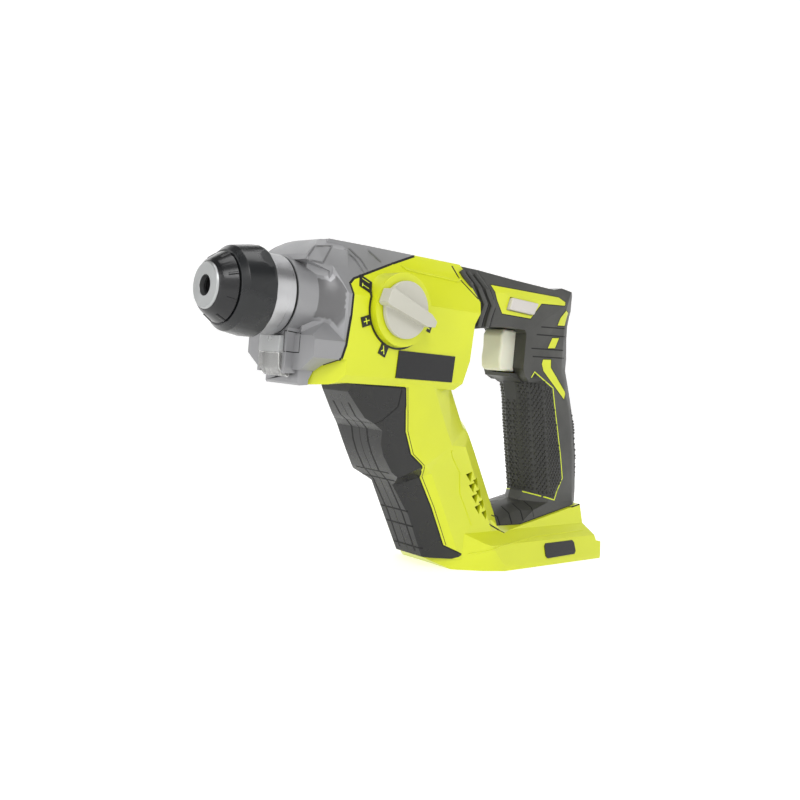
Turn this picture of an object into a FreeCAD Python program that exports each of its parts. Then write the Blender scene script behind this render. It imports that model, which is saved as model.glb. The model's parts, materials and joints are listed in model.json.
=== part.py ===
import FreeCAD, Part
import math
import os
import Sketcher

# Rotary hammer, millimetres.  Origin: centre of the nose face, where the tool bit
# enters.  The bit points along -X, +Z is up, the mode dial is on the -Y side.

V = FreeCAD.Vector
Turn = FreeCAD.Rotation
Place = FreeCAD.Placement
X_AXIS, Y_AXIS, Z_AXIS = V(1, 0, 0), V(0, 1, 0), V(0, 0, 1)

SIZES = {
    # tool holder
    "bore_r": 5.05, "nose_face_r": 10.8, "cap_rear_r": 17.4,
    "cap_rear_x": 8.6, "sleeve_front_x": 9.1, "sleeve_front_r": 18.2, "sleeve_max_r": 23.0,
    "sleeve_rear_x": 26.5, "sleeve_skirt_r": 20.5, "sleeve_bore_r": 16.3, "sleeve_flat": 22.3,
    "ball_r": 3.5, "ball_x": 16.0, "ball_offset": 8.95, "lock_ring_r": 12.6,
    "collar_front_x": 26.8, "collar_rear_x": 39.0, "collar_r": 20.1, "collar_bore_r": 17.1,
    # spindle and striking parts
    "spindle_front_x": 3.1, "spindle_rear_x": 88.0, "holder_r": 8.8, "barrel_r": 13.5,
    "barrel_bore_r": 11.2, "piston_r": 11.1, "piston_bore_r": 9.1, "striker_r": 8.95,
    "beat_r": 6.4, "beat_chamber_r": 6.6, "bearing_outer_r": 16.8,
    # intermediate shaft and wobble drive
    "lay_drop": 26.0, "lay_r": 4.4, "lay_journal_r": 3.98, "lay_bearing_r": 7.6, "wobble_x": 99.0,
    "wobble_ball_r": 8.6, "wobble_seat_r": 8.9, "wobble_ring_r": 11.5, "finger_r": 2.4,
    "clutch_r": 9.0, "clutch_groove_r": 7.0,
    # motor
    "motor_tilt": 30.0, "apex_x": 112.8, "can_r": 20.5, "can_wall": 1.8, "can_top": 40.0,
    "can_length": 48.0, "fan_r": 18.0, "motor_shaft_r": 2.5,
    # housing
    "body_half": 29.0, "body_top": 31.5, "body_bottom": -41.0, "body_rear_x": 157.5,
    "column_half": 24.5, "foot_half": 37.5, "foot_bottom": -146.0, "foot_rear_x": 297.0,
    "grip_half": 17.2, "beam_half": 17.0, "wall": 2.5, "skin": 1.8, "neck_r": 20.0,
    "neck_front_x": 40.4, "neck_bore_r": 18.1,
    # dial
    "dial_x": 98.5, "dial_z": -1.0, "dial_seat_r": 19.3, "dial_seat_y": 33.0,
    "dial_r": 15.0, "dial_hub_r": 8.0, "dial_offset": 2.4, "dial_bar_length": 36.0,
    "dial_bar_width": 9.0, "dial_top_y": 40.5, "dial_rest_angle": -19.0,
    # controls
    "trigger_half": 8.0, "trigger_front_x": 205.0, "selector_half": 19.5,
    "plate_thickness": 0.5,
}

doc = FreeCAD.newDocument("rotary_hammer")
sheet = doc.addObject("Spreadsheet::Sheet", "dims")
for row, (alias, value) in enumerate(SIZES.items(), start=1):
    sheet.set("A%d" % row, alias)
    sheet.set("B%d" % row, str(value))
    sheet.setAlias("B%d" % row, alias)
doc.recompute()

NODES = []


def num(token):
    """Value of a plain number or of a sheet alias such as "wall" or "-wall"."""
    if not isinstance(token, str):
        return float(token)
    return -SIZES[token[1:]] if token.startswith("-") else SIZES[token]


def tie(item, prop, token):
    """Bind a property to its cell when the size is named in the sheet."""
    if isinstance(token, str):
        sign = "-" if token.startswith("-") else ""
        item.setExpression(prop, sign + "dims." + token.lstrip("-"))


def node(item, label):
    item.Label = label
    NODES.append(item)
    return item


def outline(body, name, plane, points, offset=None):
    """Closed polygon sketch on one of the body's own origin planes."""
    sketch = body.newObject("Sketcher::SketchObject", name)
    role = [f for f in body.Origin.OriginFeatures if f.Role == plane][0]
    sketch.AttachmentSupport = [(role, "")]
    sketch.MapMode = "FlatFace"
    if offset is not None:
        sketch.AttachmentOffset = Place(V(0, 0, num(offset)), Turn())
        tie(sketch, "AttachmentOffset.Base.z", offset)
    corners = [V(num(a), num(b), 0) for a, b in points]
    count = len(corners)
    for i in range(count):
        sketch.addGeometry(Part.LineSegment(corners[i], corners[(i + 1) % count]), False)
    for i in range(count):
        sketch.addConstraint(Sketcher.Constraint("Coincident", i, 2, (i + 1) % count, 1))
    for i, pair in enumerate(points):
        for kind, token in zip(("DistanceX", "DistanceY"), pair):
            if isinstance(token, str):
                at = sketch.addConstraint(Sketcher.Constraint(kind, i, 1, num(token)))
                tie(sketch, "Constraints[%d]" % at, token)
    return sketch


def prism(name, plane, points, length, offset=None, both_sides=False):
    """Body padded from a polygon; the pad runs along the plane's normal."""
    body = doc.addObject("PartDesign::Body", name)
    sketch = outline(body, name + "_outline", plane, points, offset)
    pad = body.newObject("PartDesign::Pad", name + "_pad")
    pad.Profile = sketch
    pad.Length = num(length)
    tie(pad, "Length", length)
    if both_sides:
        pad.SideType = "Symmetric"
    return body


def turned(name, points, drop=None):
    """Body revolved about X; points are (x, radius)."""
    body = doc.addObject("PartDesign::Body", name)
    sketch = outline(body, name + "_profile", "XZ_Plane", points)
    spin = body.newObject("PartDesign::Revolution", name + "_turn")
    spin.Profile = sketch
    spin.ReferenceAxis = (sketch, ["H_Axis"])
    spin.Angle = 360.0
    if drop is not None:
        body.Placement = Place(V(0, 0, -num(drop)), Turn())
        tie(body, "Placement.Base.z", "-" + drop)
    return body


def washer(name, x0, x1, r_in, r_out, drop=None):
    return turned(name, [(x0, r_in), (x0, r_out), (x1, r_out), (x1, r_in)], drop)


def box(name, x0, x1, y0, y1, z0, z1):
    item = doc.addObject("Part::Box", name)
    for prop, low, high in (("Length", x0, x1), ("Width", y0, y1), ("Height", z0, z1)):
        setattr(item, prop, high - low)
    item.Placement = Place(V(x0, y0, z0), Turn())
    return item


def rod(name, radius, start, direction, length):
    item = doc.addObject("Part::Cylinder", name)
    item.Radius = num(radius)
    tie(item, "Radius", radius)
    item.Height = length
    item.Placement = Place(start, Turn(Z_AXIS, direction))
    return item


def ball(name, radius, centre):
    item = doc.addObject("Part::Sphere", name)
    item.Radius = num(radius)
    tie(item, "Radius", radius)
    item.Placement = Place(centre, Turn())
    return item


def cut(name, base, tool):
    item = doc.addObject("Part::Cut", name)
    item.Base, item.Tool = base, tool
    return item


def fuse(name, items):
    item = doc.addObject("Part::MultiFuse", name)
    item.Shapes = list(items)
    return item


def common(name, items):
    item = doc.addObject("Part::MultiCommon", name)
    item.Shapes = list(items)
    return item


def group(name, items):
    """Several loose solids kept apart in one node."""
    item = doc.addObject("Part::Compound", name)
    item.Links = list(items)
    return item


def inset(points, gap):
    """Polygon moved inwards by gap (outwards when gap is negative)."""
    pts = [(num(a), num(b)) for a, b in points]
    count = len(pts)
    area = sum(pts[i][0] * pts[(i + 1) % count][1] - pts[(i + 1) % count][0] * pts[i][1]
               for i in range(count))
    side = 1.0 if area > 0 else -1.0
    result = []
    for i in range(count):
        before, here, after = pts[i - 1], pts[i], pts[(i + 1) % count]
        ax, ay = here[0] - before[0], here[1] - before[1]
        bx, by = after[0] - here[0], after[1] - here[1]
        la, lb = math.hypot(ax, ay), math.hypot(bx, by)
        nax, nay = -ay / la * side, ax / la * side
        nbx, nby = -by / lb * side, bx / lb * side
        scale = gap / (1.0 + nax * nbx + nay * nby)
        result.append((here[0] + (nax + nbx) * scale, here[1] + (nay + nby) * scale))
    return result


def mirrored(points):
    """Half outline (y >= 0) completed on the other side of y = 0."""
    other = [(-num(a), b) for a, b in reversed(points) if num(a) > 0]
    return list(points) + other


# ---------------------------------------------------------------- tool holder
node(turned("nose_ring", [(0, "bore_r"), (0, "nose_face_r"), (1.0, 11.4), (3.0, 11.4),
                          (3.0, "bore_r")]), "nose_ring")
node(turned("nose_cap", [(0.8, 11.4), (2.4, 13.4), ("cap_rear_x", "cap_rear_r"),
                         ("cap_rear_x", "holder_r"), (3.1, "holder_r"), (3.1, 11.4)]),
     "nose_cap")

sleeve_round = turned("sleeve_round", [
    ("sleeve_front_x", "sleeve_bore_r"), ("sleeve_front_x", "sleeve_front_r"), (12.0, 20.8),
    (24.3, "sleeve_max_r"), ("sleeve_rear_x", 22.5), ("sleeve_rear_x", "sleeve_skirt_r"),
    (19.9, "sleeve_skirt_r"), (19.9, "sleeve_bore_r")])


def ring_of_points(radius, count, start=0.0):
    return [(radius * math.cos(math.radians(start + 360.0 * i / count)),
             radius * math.sin(math.radians(start + 360.0 * i / count)))
            for i in range(count)]


flat_corner = SIZES["sleeve_flat"] / math.cos(math.radians(22.5))
sleeve_flats = prism("sleeve_flats", "YZ_Plane", ring_of_points(flat_corner, 8, 22.5), 40.0)
node(common("chuck_sleeve", [sleeve_round, sleeve_flats]), "chuck_sleeve")
node(turned("lock_ring", [(13.5, "lock_ring_r"), (13.5, "sleeve_bore_r"),
                          (21.2, "sleeve_bore_r"), (21.2, 8.86), (19.7, 8.86),
                          (19.7, "lock_ring_r")]), "lock_ring")

ball_spots = [V(SIZES["ball_x"], 0, s * SIZES["ball_offset"]) for s in (1, -1)]
node(group("locking_balls", [ball("ball_a", "ball_r", ball_spots[0]),
                             ball("ball_b", "ball_r", ball_spots[1])]), "locking_balls")

coil_r, wire_r, coil_pitch, coil_length = 12.2, 0.8, 2.5, 8.75
helix = Part.Wire(Part.makeHelix(coil_pitch, coil_length, coil_r).Edges)
wire_face = Part.Wire(Part.makeCircle(wire_r, V(coil_r, 0, 0), Y_AXIS))
coil = doc.addObject("Part::Feature", "sleeve_spring")
coil.Shape = helix.makePipeShell([wire_face], True, True)
coil.Placement = Place(V(27.2, 0, 0), Turn(Z_AXIS, X_AXIS))
node(coil, "sleeve_spring")

node(turned("front_collar", [
    ("collar_front_x", "collar_bore_r"), ("collar_front_x", 19.6), (27.4, "collar_r"),
    ("collar_rear_x", "collar_r"), ("collar_rear_x", 9.0), (37.6, 9.0),
    (37.6, "collar_bore_r")]), "front_collar")
node(washer("collar_seal", "collar_rear_x", "neck_front_x", 9.0, 19.4), "collar_seal")
node(washer("shaft_seal", 40.5, 45.8, 8.85, "neck_bore_r"), "shaft_seal")

# ------------------------------------------------- spindle and striking parts
spindle_blank = turned("spindle_blank", [
    ("spindle_front_x", "bore_r"), ("spindle_front_x", 8.3), (3.6, "holder_r"),
    (46.0, "holder_r"), (46.0, "barrel_r"), ("spindle_rear_x", "barrel_r"),
    ("spindle_rear_x", "barrel_bore_r"), (62.0, "barrel_bore_r"), (62.0, "beat_chamber_r"),
    (40.0, "beat_chamber_r"), (40.0, "bore_r")])
ball_pockets = fuse("ball_pockets", [
    ball("pocket_a", 3.6, ball_spots[0]), ball("pocket_b", 3.6, ball_spots[1]),
    rod("pocket_window", 1.5, V(SIZES["ball_x"], 0, -8), Z_AXIS, 16.0)])
node(cut("tool_spindle", spindle_blank, ball_pockets), "tool_spindle")


def ball_bearing(name, x0, width, r_in, r_out, count, axis_place=None):
    """Two races and a row of balls, all loose solids, about X."""
    mid = (r_in + r_out) / 2
    gap = (r_out - r_in) / 2
    ball_radius = gap * 0.46
    inner = Part.makeCylinder(mid - gap * 0.48, width, V(x0, 0, 0), X_AXIS)
    inner = inner.cut(Part.makeCylinder(r_in, width, V(x0, 0, 0), X_AXIS))
    outer = Part.makeCylinder(r_out, width, V(x0, 0, 0), X_AXIS)
    outer = outer.cut(Part.makeCylinder(mid + gap * 0.48, width, V(x0, 0, 0), X_AXIS))
    rolling = []
    for i in range(count):
        angle = 2 * math.pi * i / count
        spot = V(x0 + width / 2, mid * math.cos(angle), mid * math.sin(angle))
        rolling.append(Part.makeSphere(ball_radius, spot))
    item = doc.addObject("Part::Feature", name)
    item.Shape = Part.makeCompound([inner, outer] + rolling)
    item.Placement = axis_place or Place()
    return item


spindle_seat_r = SIZES["barrel_r"] + 0.04
front_bearing = ball_bearing("spindle_bearing_a", 46.6, 8.0, spindle_seat_r,
                             SIZES["neck_bore_r"], 14)
rear_bearing = ball_bearing("spindle_bearing_b", 80.2, 6.2, spindle_seat_r,
                            SIZES["bearing_outer_r"], 14)
node(group("spindle_bearings", [front_bearing, rear_bearing]), "spindle_bearings")


def gear_points(teeth, pitch_r, addendum, dedendum, fat=0.40, first=0.0):
    """Straight-flanked tooth outline; fat is the tooth share of the pitch."""
    points = []
    step = 2 * math.pi / teeth
    for i in range(teeth):
        mid = first + i * step
        for share, radius in ((-0.62, pitch_r - dedendum), (-0.26, pitch_r + addendum),
                              (0.26, pitch_r + addendum), (0.62, pitch_r - dedendum)):
            angle = mid + share * fat * step
            points.append((radius * math.cos(angle), radius * math.sin(angle)))
    return points


MODULE = 1.3
GEAR_X = 64.5
spur_teeth, pinion_teeth = 30, 10
gear_blank = prism("gear_blank", "YZ_Plane",
                   gear_points(spur_teeth, MODULE * spur_teeth / 2, 1.0, 1.5), 9.0, GEAR_X)
gear_hole = rod("gear_hole", "barrel_r", V(GEAR_X - 1, 0, 0), X_AXIS, 11.0)
node(cut("spindle_gear", gear_blank, gear_hole), "spindle_gear")

piston_cup = turned("piston_cup", [
    (67.0, "piston_bore_r"), (67.0, "piston_r"), (90.0, "piston_r"), (90.0, 0.0),
    (86.5, 0.0), (86.5, "piston_bore_r")])
piston_tail = box("piston_tail", 89.5, 105.0, -7.0, 7.0, -4.0, 4.0)
finger_hole = rod("finger_hole", 3.3, V(SIZES["wobble_x"], 0, -6), Z_AXIS, 12.0)
node(cut("piston", fuse("piston_blank", [piston_cup, piston_tail]), finger_hole), "piston")

node(turned("striker", [
    (63.0, 0.0), (63.0, 4.6), (66.0, 5.2), (66.0, 8.4), (66.6, "striker_r"),
    (71.0, "striker_r"), (71.0, 7.6), (73.4, 7.6), (73.4, "striker_r"), (77.4, "striker_r"),
    (78.0, 8.4), (78.0, 0.0)]), "striker")
node(washer("striker_ring", 71.0, 73.4, 7.6, 9.05), "striker_ring")
node(turned("beat_piece", [
    (40.2, 0.0), (40.2, 4.0), (40.8, 4.7), (45.0, 4.7), (46.0, "beat_r"), (57.5, "beat_r"),
    (58.5, 4.6), (62.5, 4.6), (62.5, 0.0)]), "beat_piece")

# -------------------------------------------- intermediate shaft, wobble drive
node(turned("intermediate_shaft", [
    (52.2, 0.0), (52.2, "lay_journal_r"), (58.0, "lay_journal_r"), (58.0, "lay_r"),
    (130.0, "lay_r"), (130.0, "lay_journal_r"), (136.0, "lay_journal_r"), (136.0, 0.0)],
    "lay_drop"), "intermediate_shaft")

lay_place = Place(V(0, 0, -SIZES["lay_drop"]), Turn())
lay_seat_r = SIZES["lay_journal_r"] + 0.04
node(group("intermediate_bearings", [
    ball_bearing("lay_bearing_a", 52.6, 5.0, lay_seat_r, SIZES["lay_bearing_r"], 8,
                 lay_place),
    ball_bearing("lay_bearing_b", 130.5, 5.0, lay_seat_r, SIZES["lay_bearing_r"], 8,
                 lay_place)]),
    "intermediate_bearings")

pinion_outline = gear_points(pinion_teeth, MODULE * pinion_teeth / 2, 1.0, 1.5,
                             first=math.pi / 2)
pinion_blank = prism("pinion_blank", "YZ_Plane", pinion_outline, 9.0, GEAR_X)
pinion_blank.Placement = lay_place
tie(pinion_blank, "Placement.Base.z", "-lay_drop")
pinion_hole = rod("pinion_hole", "lay_r", V(GEAR_X - 1, 0, -SIZES["lay_drop"]), X_AXIS, 11.0)
node(cut("intermediate_pinion", pinion_blank, pinion_hole), "intermediate_pinion")

node(turned("clutch_sleeve", [
    (78.5, 4.46), (78.5, "clutch_r"), (83.0, "clutch_r"), (83.0, "clutch_groove_r"),
    (86.4, "clutch_groove_r"), (86.4, "clutch_r"), (89.5, "clutch_r"), (89.5, 4.46)],
    "lay_drop"), "clutch_sleeve")

wobble_centre = V(SIZES["wobble_x"], 0, -SIZES["lay_drop"])
wobble_ball = ball("wobble_ball", "wobble_ball_r", wobble_centre)
wobble_slab = box("wobble_slab", 93.5, 104.5, -9, 9, -35.0, -17.0)
wobble_hole = rod("wobble_hole", "lay_r", wobble_centre - V(10, 0, 0), X_AXIS, 20.0)
node(cut("wobble_sleeve", common("wobble_barrel", [wobble_ball, wobble_slab]), wobble_hole),
     "wobble_sleeve")

ring_rod = rod("ring_rod", "wobble_ring_r", wobble_centre - V(3, 0, 0), X_AXIS, 6.0)
ring_seat = ball("ring_seat", "wobble_seat_r", wobble_centre)
finger = rod("finger", "finger_r", wobble_centre + V(0, 0, 10.0), Z_AXIS, 19.0)
node(fuse("wobble_ring", [cut("ring_body", ring_rod, ring_seat), finger]), "wobble_ring")

# ------------------------------------------------------------------ bevel pair
tilt = math.radians(SIZES["motor_tilt"])
motor_down = V(math.sin(tilt), 0, -math.cos(tilt))
apex = V(SIZES["apex_x"], 0, -SIZES["lay_drop"])
bevel_teeth, motor_teeth = 20, 8
shaft_angle = math.pi / 2 - tilt
bevel_ratio = bevel_teeth / motor_teeth
motor_cone = math.atan2(math.sin(shaft_angle), bevel_ratio + math.cos(shaft_angle))
gear_cone = shaft_angle - motor_cone
CONE_OUT, CONE_IN = 16.0, 10.0


def bevel(name, teeth, cone, phase, fat):
    """Straight bevel gear about +Z with its cone apex at the local origin."""
    pitch_r = CONE_OUT * math.sin(cone)
    module = 2 * pitch_r / teeth
    height = CONE_OUT * math.cos(cone)
    outer = gear_points(teeth, pitch_r, 0.70 * module, 1.0 * module, fat, phase)
    rings = []
    for share in (CONE_IN / CONE_OUT, 1.0):
        corners = [V(a * share, b * share, height * share) for a, b in outer]
        rings.append(Part.makePolygon(corners + [corners[0]]))
    item = doc.addObject("Part::Feature", name)
    item.Shape = Part.makeLoft(rings, True, True)
    return item


bevel_blank = bevel("bevel_blank", bevel_teeth, gear_cone, 0.0, 0.38)
bevel_blank.Placement = Place(apex, Turn(Z_AXIS, X_AXIS))
bevel_hole = rod("bevel_hole", "lay_r", apex, X_AXIS, 20.0)
node(cut("bevel_gear", bevel_blank, bevel_hole), "bevel_gear")

to_motor = Turn(Y_AXIS, 180.0 - SIZES["motor_tilt"])
motor_place = Place(apex, to_motor)


def along_motor(distance):
    return apex + motor_down * distance


pinion_raw = bevel("pinion_raw", motor_teeth, motor_cone, math.pi + math.pi / motor_teeth, 0.38)
pinion_raw.Placement = motor_place
node(pinion_raw, "motor_pinion")


# ----------------------------------------------------------------------- motor
def motor_rod(name, radius, start, length):
    return rod(name, radius, along_motor(start), motor_down, length)


pinion_end = CONE_OUT * math.cos(motor_cone)
shaft_main = motor_rod("shaft_main", "motor_shaft_r", pinion_end, 96.0 - pinion_end)
commutator = motor_rod("commutator", 6.0, 80.0, 8.0)
node(fuse("motor_shaft", [shaft_main, commutator]), "motor_shaft")

core_parts = []
slot_count = 7
for i in range(slot_count):
    arm = box("core_arm_%d" % i, 5.0, 16.0, -2.6, 2.6, 46.0, 76.0)
    arm.Placement = Place(V(0, 0, 0), Turn(Z_AXIS, 360.0 * i / slot_count)).multiply(
        arm.Placement)
    core_parts.append(arm)
core_hub = doc.addObject("Part::Cylinder", "core_hub")
core_hub.Radius, core_hub.Height = 8.0, 34.0
core_hub.Placement = Place(V(0, 0, 44.0), Turn())
core_solid = fuse("core_solid", core_parts + [core_hub])
core_bore = doc.addObject("Part::Cylinder", "core_bore")
core_bore.Radius, core_bore.Height = SIZES["motor_shaft_r"], 60.0
core_bore.Placement = Place(V(0, 0, 30.0), Turn())
tie(core_bore, "Radius", "motor_shaft_r")
armature = cut("armature", core_solid, core_bore)
armature.Placement = motor_place
node(armature, "armature")

can_outside = motor_rod("can_outside", "can_r", SIZES["can_top"], SIZES["can_length"])
can_inner_r = SIZES["can_r"] - SIZES["can_wall"]
can_inside = motor_rod("can_inside", can_inner_r, 42.0, 44.5)
can_mouth = motor_rod("can_mouth", 7.6, 38.0, 54.0)
node(cut("motor_can", can_outside, fuse("can_void", [can_inside, can_mouth])), "motor_can")

hub = motor_rod("fan_hub", 5.0, 30.5, 6.5)
disc = motor_rod("fan_disc", "fan_r", 30.5, 1.4)
fan_items = [hub, disc]
blade_count = 9
for i in range(blade_count):
    blade = box("fan_blade_%d" % i, 4.5, 17.2, -0.6, 0.6, 31.5, 37.0)
    blade.Placement = motor_place.multiply(
        Place(V(0, 0, 0), Turn(Z_AXIS, 360.0 * i / blade_count))).multiply(blade.Placement)
    fan_items.append(blade)
fan_hole = motor_rod("fan_hole", "motor_shaft_r", 29.0, 10.0)
node(cut("motor_fan", fuse("fan_solid", fan_items), fan_hole), "motor_fan")

motor_along_x = Place(apex, Turn(X_AXIS, motor_down))
motor_seat_r = SIZES["motor_shaft_r"] + 0.04
node(group("motor_bearings", [
    ball_bearing("motor_bearing_a", 22.0, 5.0, motor_seat_r, 7.5, 7, motor_along_x),
    ball_bearing("motor_bearing_b", 89.5, 5.0, motor_seat_r, 7.5, 7, motor_along_x)]),
    "motor_bearings")

brush_parts = []
for tag, turn_angle in (("a", 0.0), ("b", 180.0)):
    brush = box("brush_" + tag, 6.3, 16.0, -2.5, 2.5, 80.5, 86.0)
    brush.Placement = motor_place.multiply(
        Place(V(0, 0, 0), Turn(Z_AXIS, 90.0 + turn_angle))).multiply(brush.Placement)
    brush_parts.append(brush)
node(group("motor_brushes", brush_parts), "motor_brushes")


# --------------------------------------------------------------- outer surfaces
BODY_SIDE = [(49.0, -44.2), (43.0, -38.0), (43.0, 14.0), (62.0, 31.2), (87.0, "body_top"),
             (158.0, "body_top"), (161.0, 28.0), (165.5, 10.5), ("body_rear_x", -3.0),
             (156.0, -24.0), (151.5, -37.0), (148.0, "body_bottom"), (70.0, "body_bottom")]
BODY_SECTION = mirrored([(14.0, -46.0), (26.0, "body_bottom"), ("body_half", -37.0), ("body_half", 3.6),
                         (15.0, 24.0), (12.0, 32.0)])
# the lower front narrows in plan below the side bosses
CHIN_PLAN = mirrored([(13.0, 45.0), (13.0, 52.8), (34.0, 70.3), (34.0, 100.0)])
CHIN_TOP = -29.4
COLUMN_SIDE = [(83.5, -38.0), (83.5, -46.0), (88.3, -52.3), (94.0, -59.4), (98.5, -62.2),
               (102.5, -65.6), (104.4, -72.8), (107.6, -79.5), (113.8, -88.6),
               (122.0, -95.6), (135.0, -114.4), (149.0, -139.5), (210.0, -139.5),
               (204.0, -114.5), (191.0, -95.0), (181.5, -80.0), (172.5, -66.8),
               (174.0, -60.8), (170.5, -53.0), (163.0, -45.0), (152.5, -38.0)]
COLUMN_LOW = mirrored([(6.5, -26.5), (15.0, -21.0), ("column_half", -8.0),
                       ("column_half", 22.0), (17.0, 34.0), (10.0, 42.0)])
COLUMN_HIGH = mirrored([(8.0, -36.0), (21.0, -26.0), (27.2, -12.0), (27.2, 10.0),
                        (19.0, 29.0), (9.0, 37.5)])
# heights along the column where the motor bulge starts and reaches full width
SHOULDER_FOOT, SHOULDER_TOP = 13.0, 21.0
FOOT_SIDE = [(150.0, -139.6), (164.0, "foot_bottom"), ("foot_rear_x", "foot_bottom"),
             ("foot_rear_x", -139.5), (293.0, -135.5), (288.0, -134.5), (285.0, -124.0),
             (284.0, -112.0), (274.5, -113.8), (203.0, -125.8), (194.0, -118.0),
             (160.0, -118.0), (148.5, -135.0)]
FOOT_PLAN = mirrored([(6.0, 147.5), (14.0, 156.0), (23.0, 166.5), (32.0, 180.0),
                      ("foot_half", 193.0),
                      ("foot_half", 290.0), (31.0, "foot_rear_x")])
FOOT_SECTION = mirrored([("foot_half", "foot_bottom"), ("foot_half", -143.0),
                         (33.6, -131.0), (24.5, -124.5), (21.0, -108.0)])
BEAM_SIDE = [(150.0, -6.0), (150.0, 31.2), (174.0, 31.0), (208.0, 29.2), (248.0, 27.8),
             (257.5, 30.0), (268.0, 28.6), (272.5, 24.0), (271.8, 18.3), (266.8, 12.0),
             (263.4, 5.2), (264.6, -3.0), (268.6, -13.0), (274.0, -23.0), (278.0, -33.0),
             (225.5, -33.0), (220.5, -29.5), (218.0, -25.0), (218.0, -3.0),
             (216.0, -1.0), (199.4, -0.8), (185.8, -2.1), (168.5, -4.9)]
# rounded lip under the trigger, part of the soft skin only
LIP_SIDE = [(217.8, -28.3), (212.8, -28.5), (213.6, -30.6), (220.5, -31.6), (226.5, -34.5),
            (226.0, -31.0), (221.0, -28.3)]
BEAM_SECTION = mirrored([(11.0, -40.0), ("beam_half", -31.0), ("beam_half", 19.0),
                         (9.5, 32.0)])
BEAM_PLAN = mirrored([("beam_half", 149.0), ("beam_half", 256.0), (10.0, 270.0),
                      (4.0, 275.0)])
# height, front x, rear x, half width
GRIP_RINGS = [(-9.0, 219.0, 266.6, "beam_half"), (-32.0, 224.5, 277.0, "beam_half"),
              (-44.0, 228.6, 282.0, "beam_half"),
              (-60.0, 231.8, 288.2, "grip_half"), (-79.0, 236.2, 293.0, "grip_half"),
              (-104.0, 242.4, 296.4, "grip_half"), (-110.5, 240.5, 296.7, 18.2),
              (-114.5, 224.0, 296.8, 20.0), (-127.0, 201.0, 296.8, 23.0)]

column_origin = V(151.0, 0, -95.6)
column_place = Place(column_origin, Turn(Y_AXIS, -SIZES["motor_tilt"]))
WIDE = 90.0


def swap(points):
    return [(b, a) for a, b in points]


def body_solid(tag, gap):
    side = prism("body_side" + tag, "XZ_Plane", inset(BODY_SIDE, gap), WIDE, both_sides=True)
    section = prism("body_section" + tag, "YZ_Plane", inset(BODY_SECTION, gap), 140.0, 35.0)
    return common("body_form" + tag, [side, section])


def chin_cut(tag, gap):
    room = box("chin_room" + tag, 40.0, 75.0, -WIDE, WIDE, -60.0, CHIN_TOP + gap)
    plan = prism("chin_plan" + tag, "XY_Plane", inset(swap(CHIN_PLAN), gap), 60.0, -80.0)
    return cut("chin_cut" + tag, room, plan)


def column_solid(tag, gap):
    side = inset(COLUMN_SIDE, gap)
    side_form = prism("column_side" + tag, "XZ_Plane", side, WIDE, both_sides=True)
    posts = []
    for name, section, start, length in (
            ("high", COLUMN_HIGH, SHOULDER_TOP + gap, 60.0),
            ("low", COLUMN_LOW, -75.0, 75.0 + SHOULDER_FOOT + gap)):
        post = prism("column_post_" + name + tag, "XY_Plane", inset(swap(section), gap),
                     length, start)
        post.Placement = column_place
        posts.append(post)
    rings = []
    for section, height in ((COLUMN_LOW, SHOULDER_FOOT), (COLUMN_HIGH, SHOULDER_TOP)):
        corners = [V(a, b, height + gap) for a, b in inset(swap(section), gap)]
        rings.append(Part.makePolygon(corners + [corners[0]]))
    shoulder = doc.addObject("Part::Feature", "column_shoulder" + tag)
    shoulder.Shape = Part.makeLoft(rings, True, True)
    shoulder.Placement = column_place
    return common("column_form" + tag, [side_form, fuse("column_posts" + tag,
                                                        posts + [shoulder])])


def foot_solid(tag, gap):
    side = prism("foot_side" + tag, "XZ_Plane", inset(FOOT_SIDE, gap), WIDE, both_sides=True)
    plan = prism("foot_plan" + tag, "XY_Plane", inset(swap(FOOT_PLAN), gap), 60.0, -160.0)
    section = prism("foot_section" + tag, "YZ_Plane", inset(FOOT_SECTION, gap), 180.0, 135.0)
    return common("foot_form" + tag, [side, plan, section])


def grip_ring(height, front, rear, half):
    half = num(half)
    side = [(front, 5.0), (front + 5.0, 12.0), (front + 13.0, half), (rear - 17.0, half),
            (rear - 6.0, 12.0), (rear, 5.0)]
    loop = side + [(x, -y) for x, y in reversed(side)]
    return height, loop


def handle_solid(tag, gap):
    side = prism("beam_side" + tag, "XZ_Plane", inset(BEAM_SIDE, gap), WIDE, both_sides=True)
    section = prism("beam_section" + tag, "YZ_Plane", inset(BEAM_SECTION, gap), 150.0, 140.0)
    plan = prism("beam_plan" + tag, "XY_Plane", inset(swap(BEAM_PLAN), gap), 100.0, -50.0)
    beam = common("beam_form" + tag, [side, section, plan])
    rings = []
    for height, loop in [grip_ring(*ring) for ring in GRIP_RINGS]:
        corners = [V(x, y, height) for x, y in inset(loop, gap)]
        rings.append(Part.makePolygon(corners + [corners[0]]))
    grip = doc.addObject("Part::Feature", "grip_form" + tag)
    grip.Shape = Part.makeLoft(rings, True, True)
    return fuse("handle_form" + tag, [beam, grip])


def half_space(name, sign):
    y0, y1 = (-WIDE, 0.0) if sign < 0 else (0.0, WIDE)
    return box(name, -10.0, 330.0, y0, y1, -180.0, 60.0)


def mating_half(name, source, sign):
    return common(name, [source, half_space(name + "_side", sign)])


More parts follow.
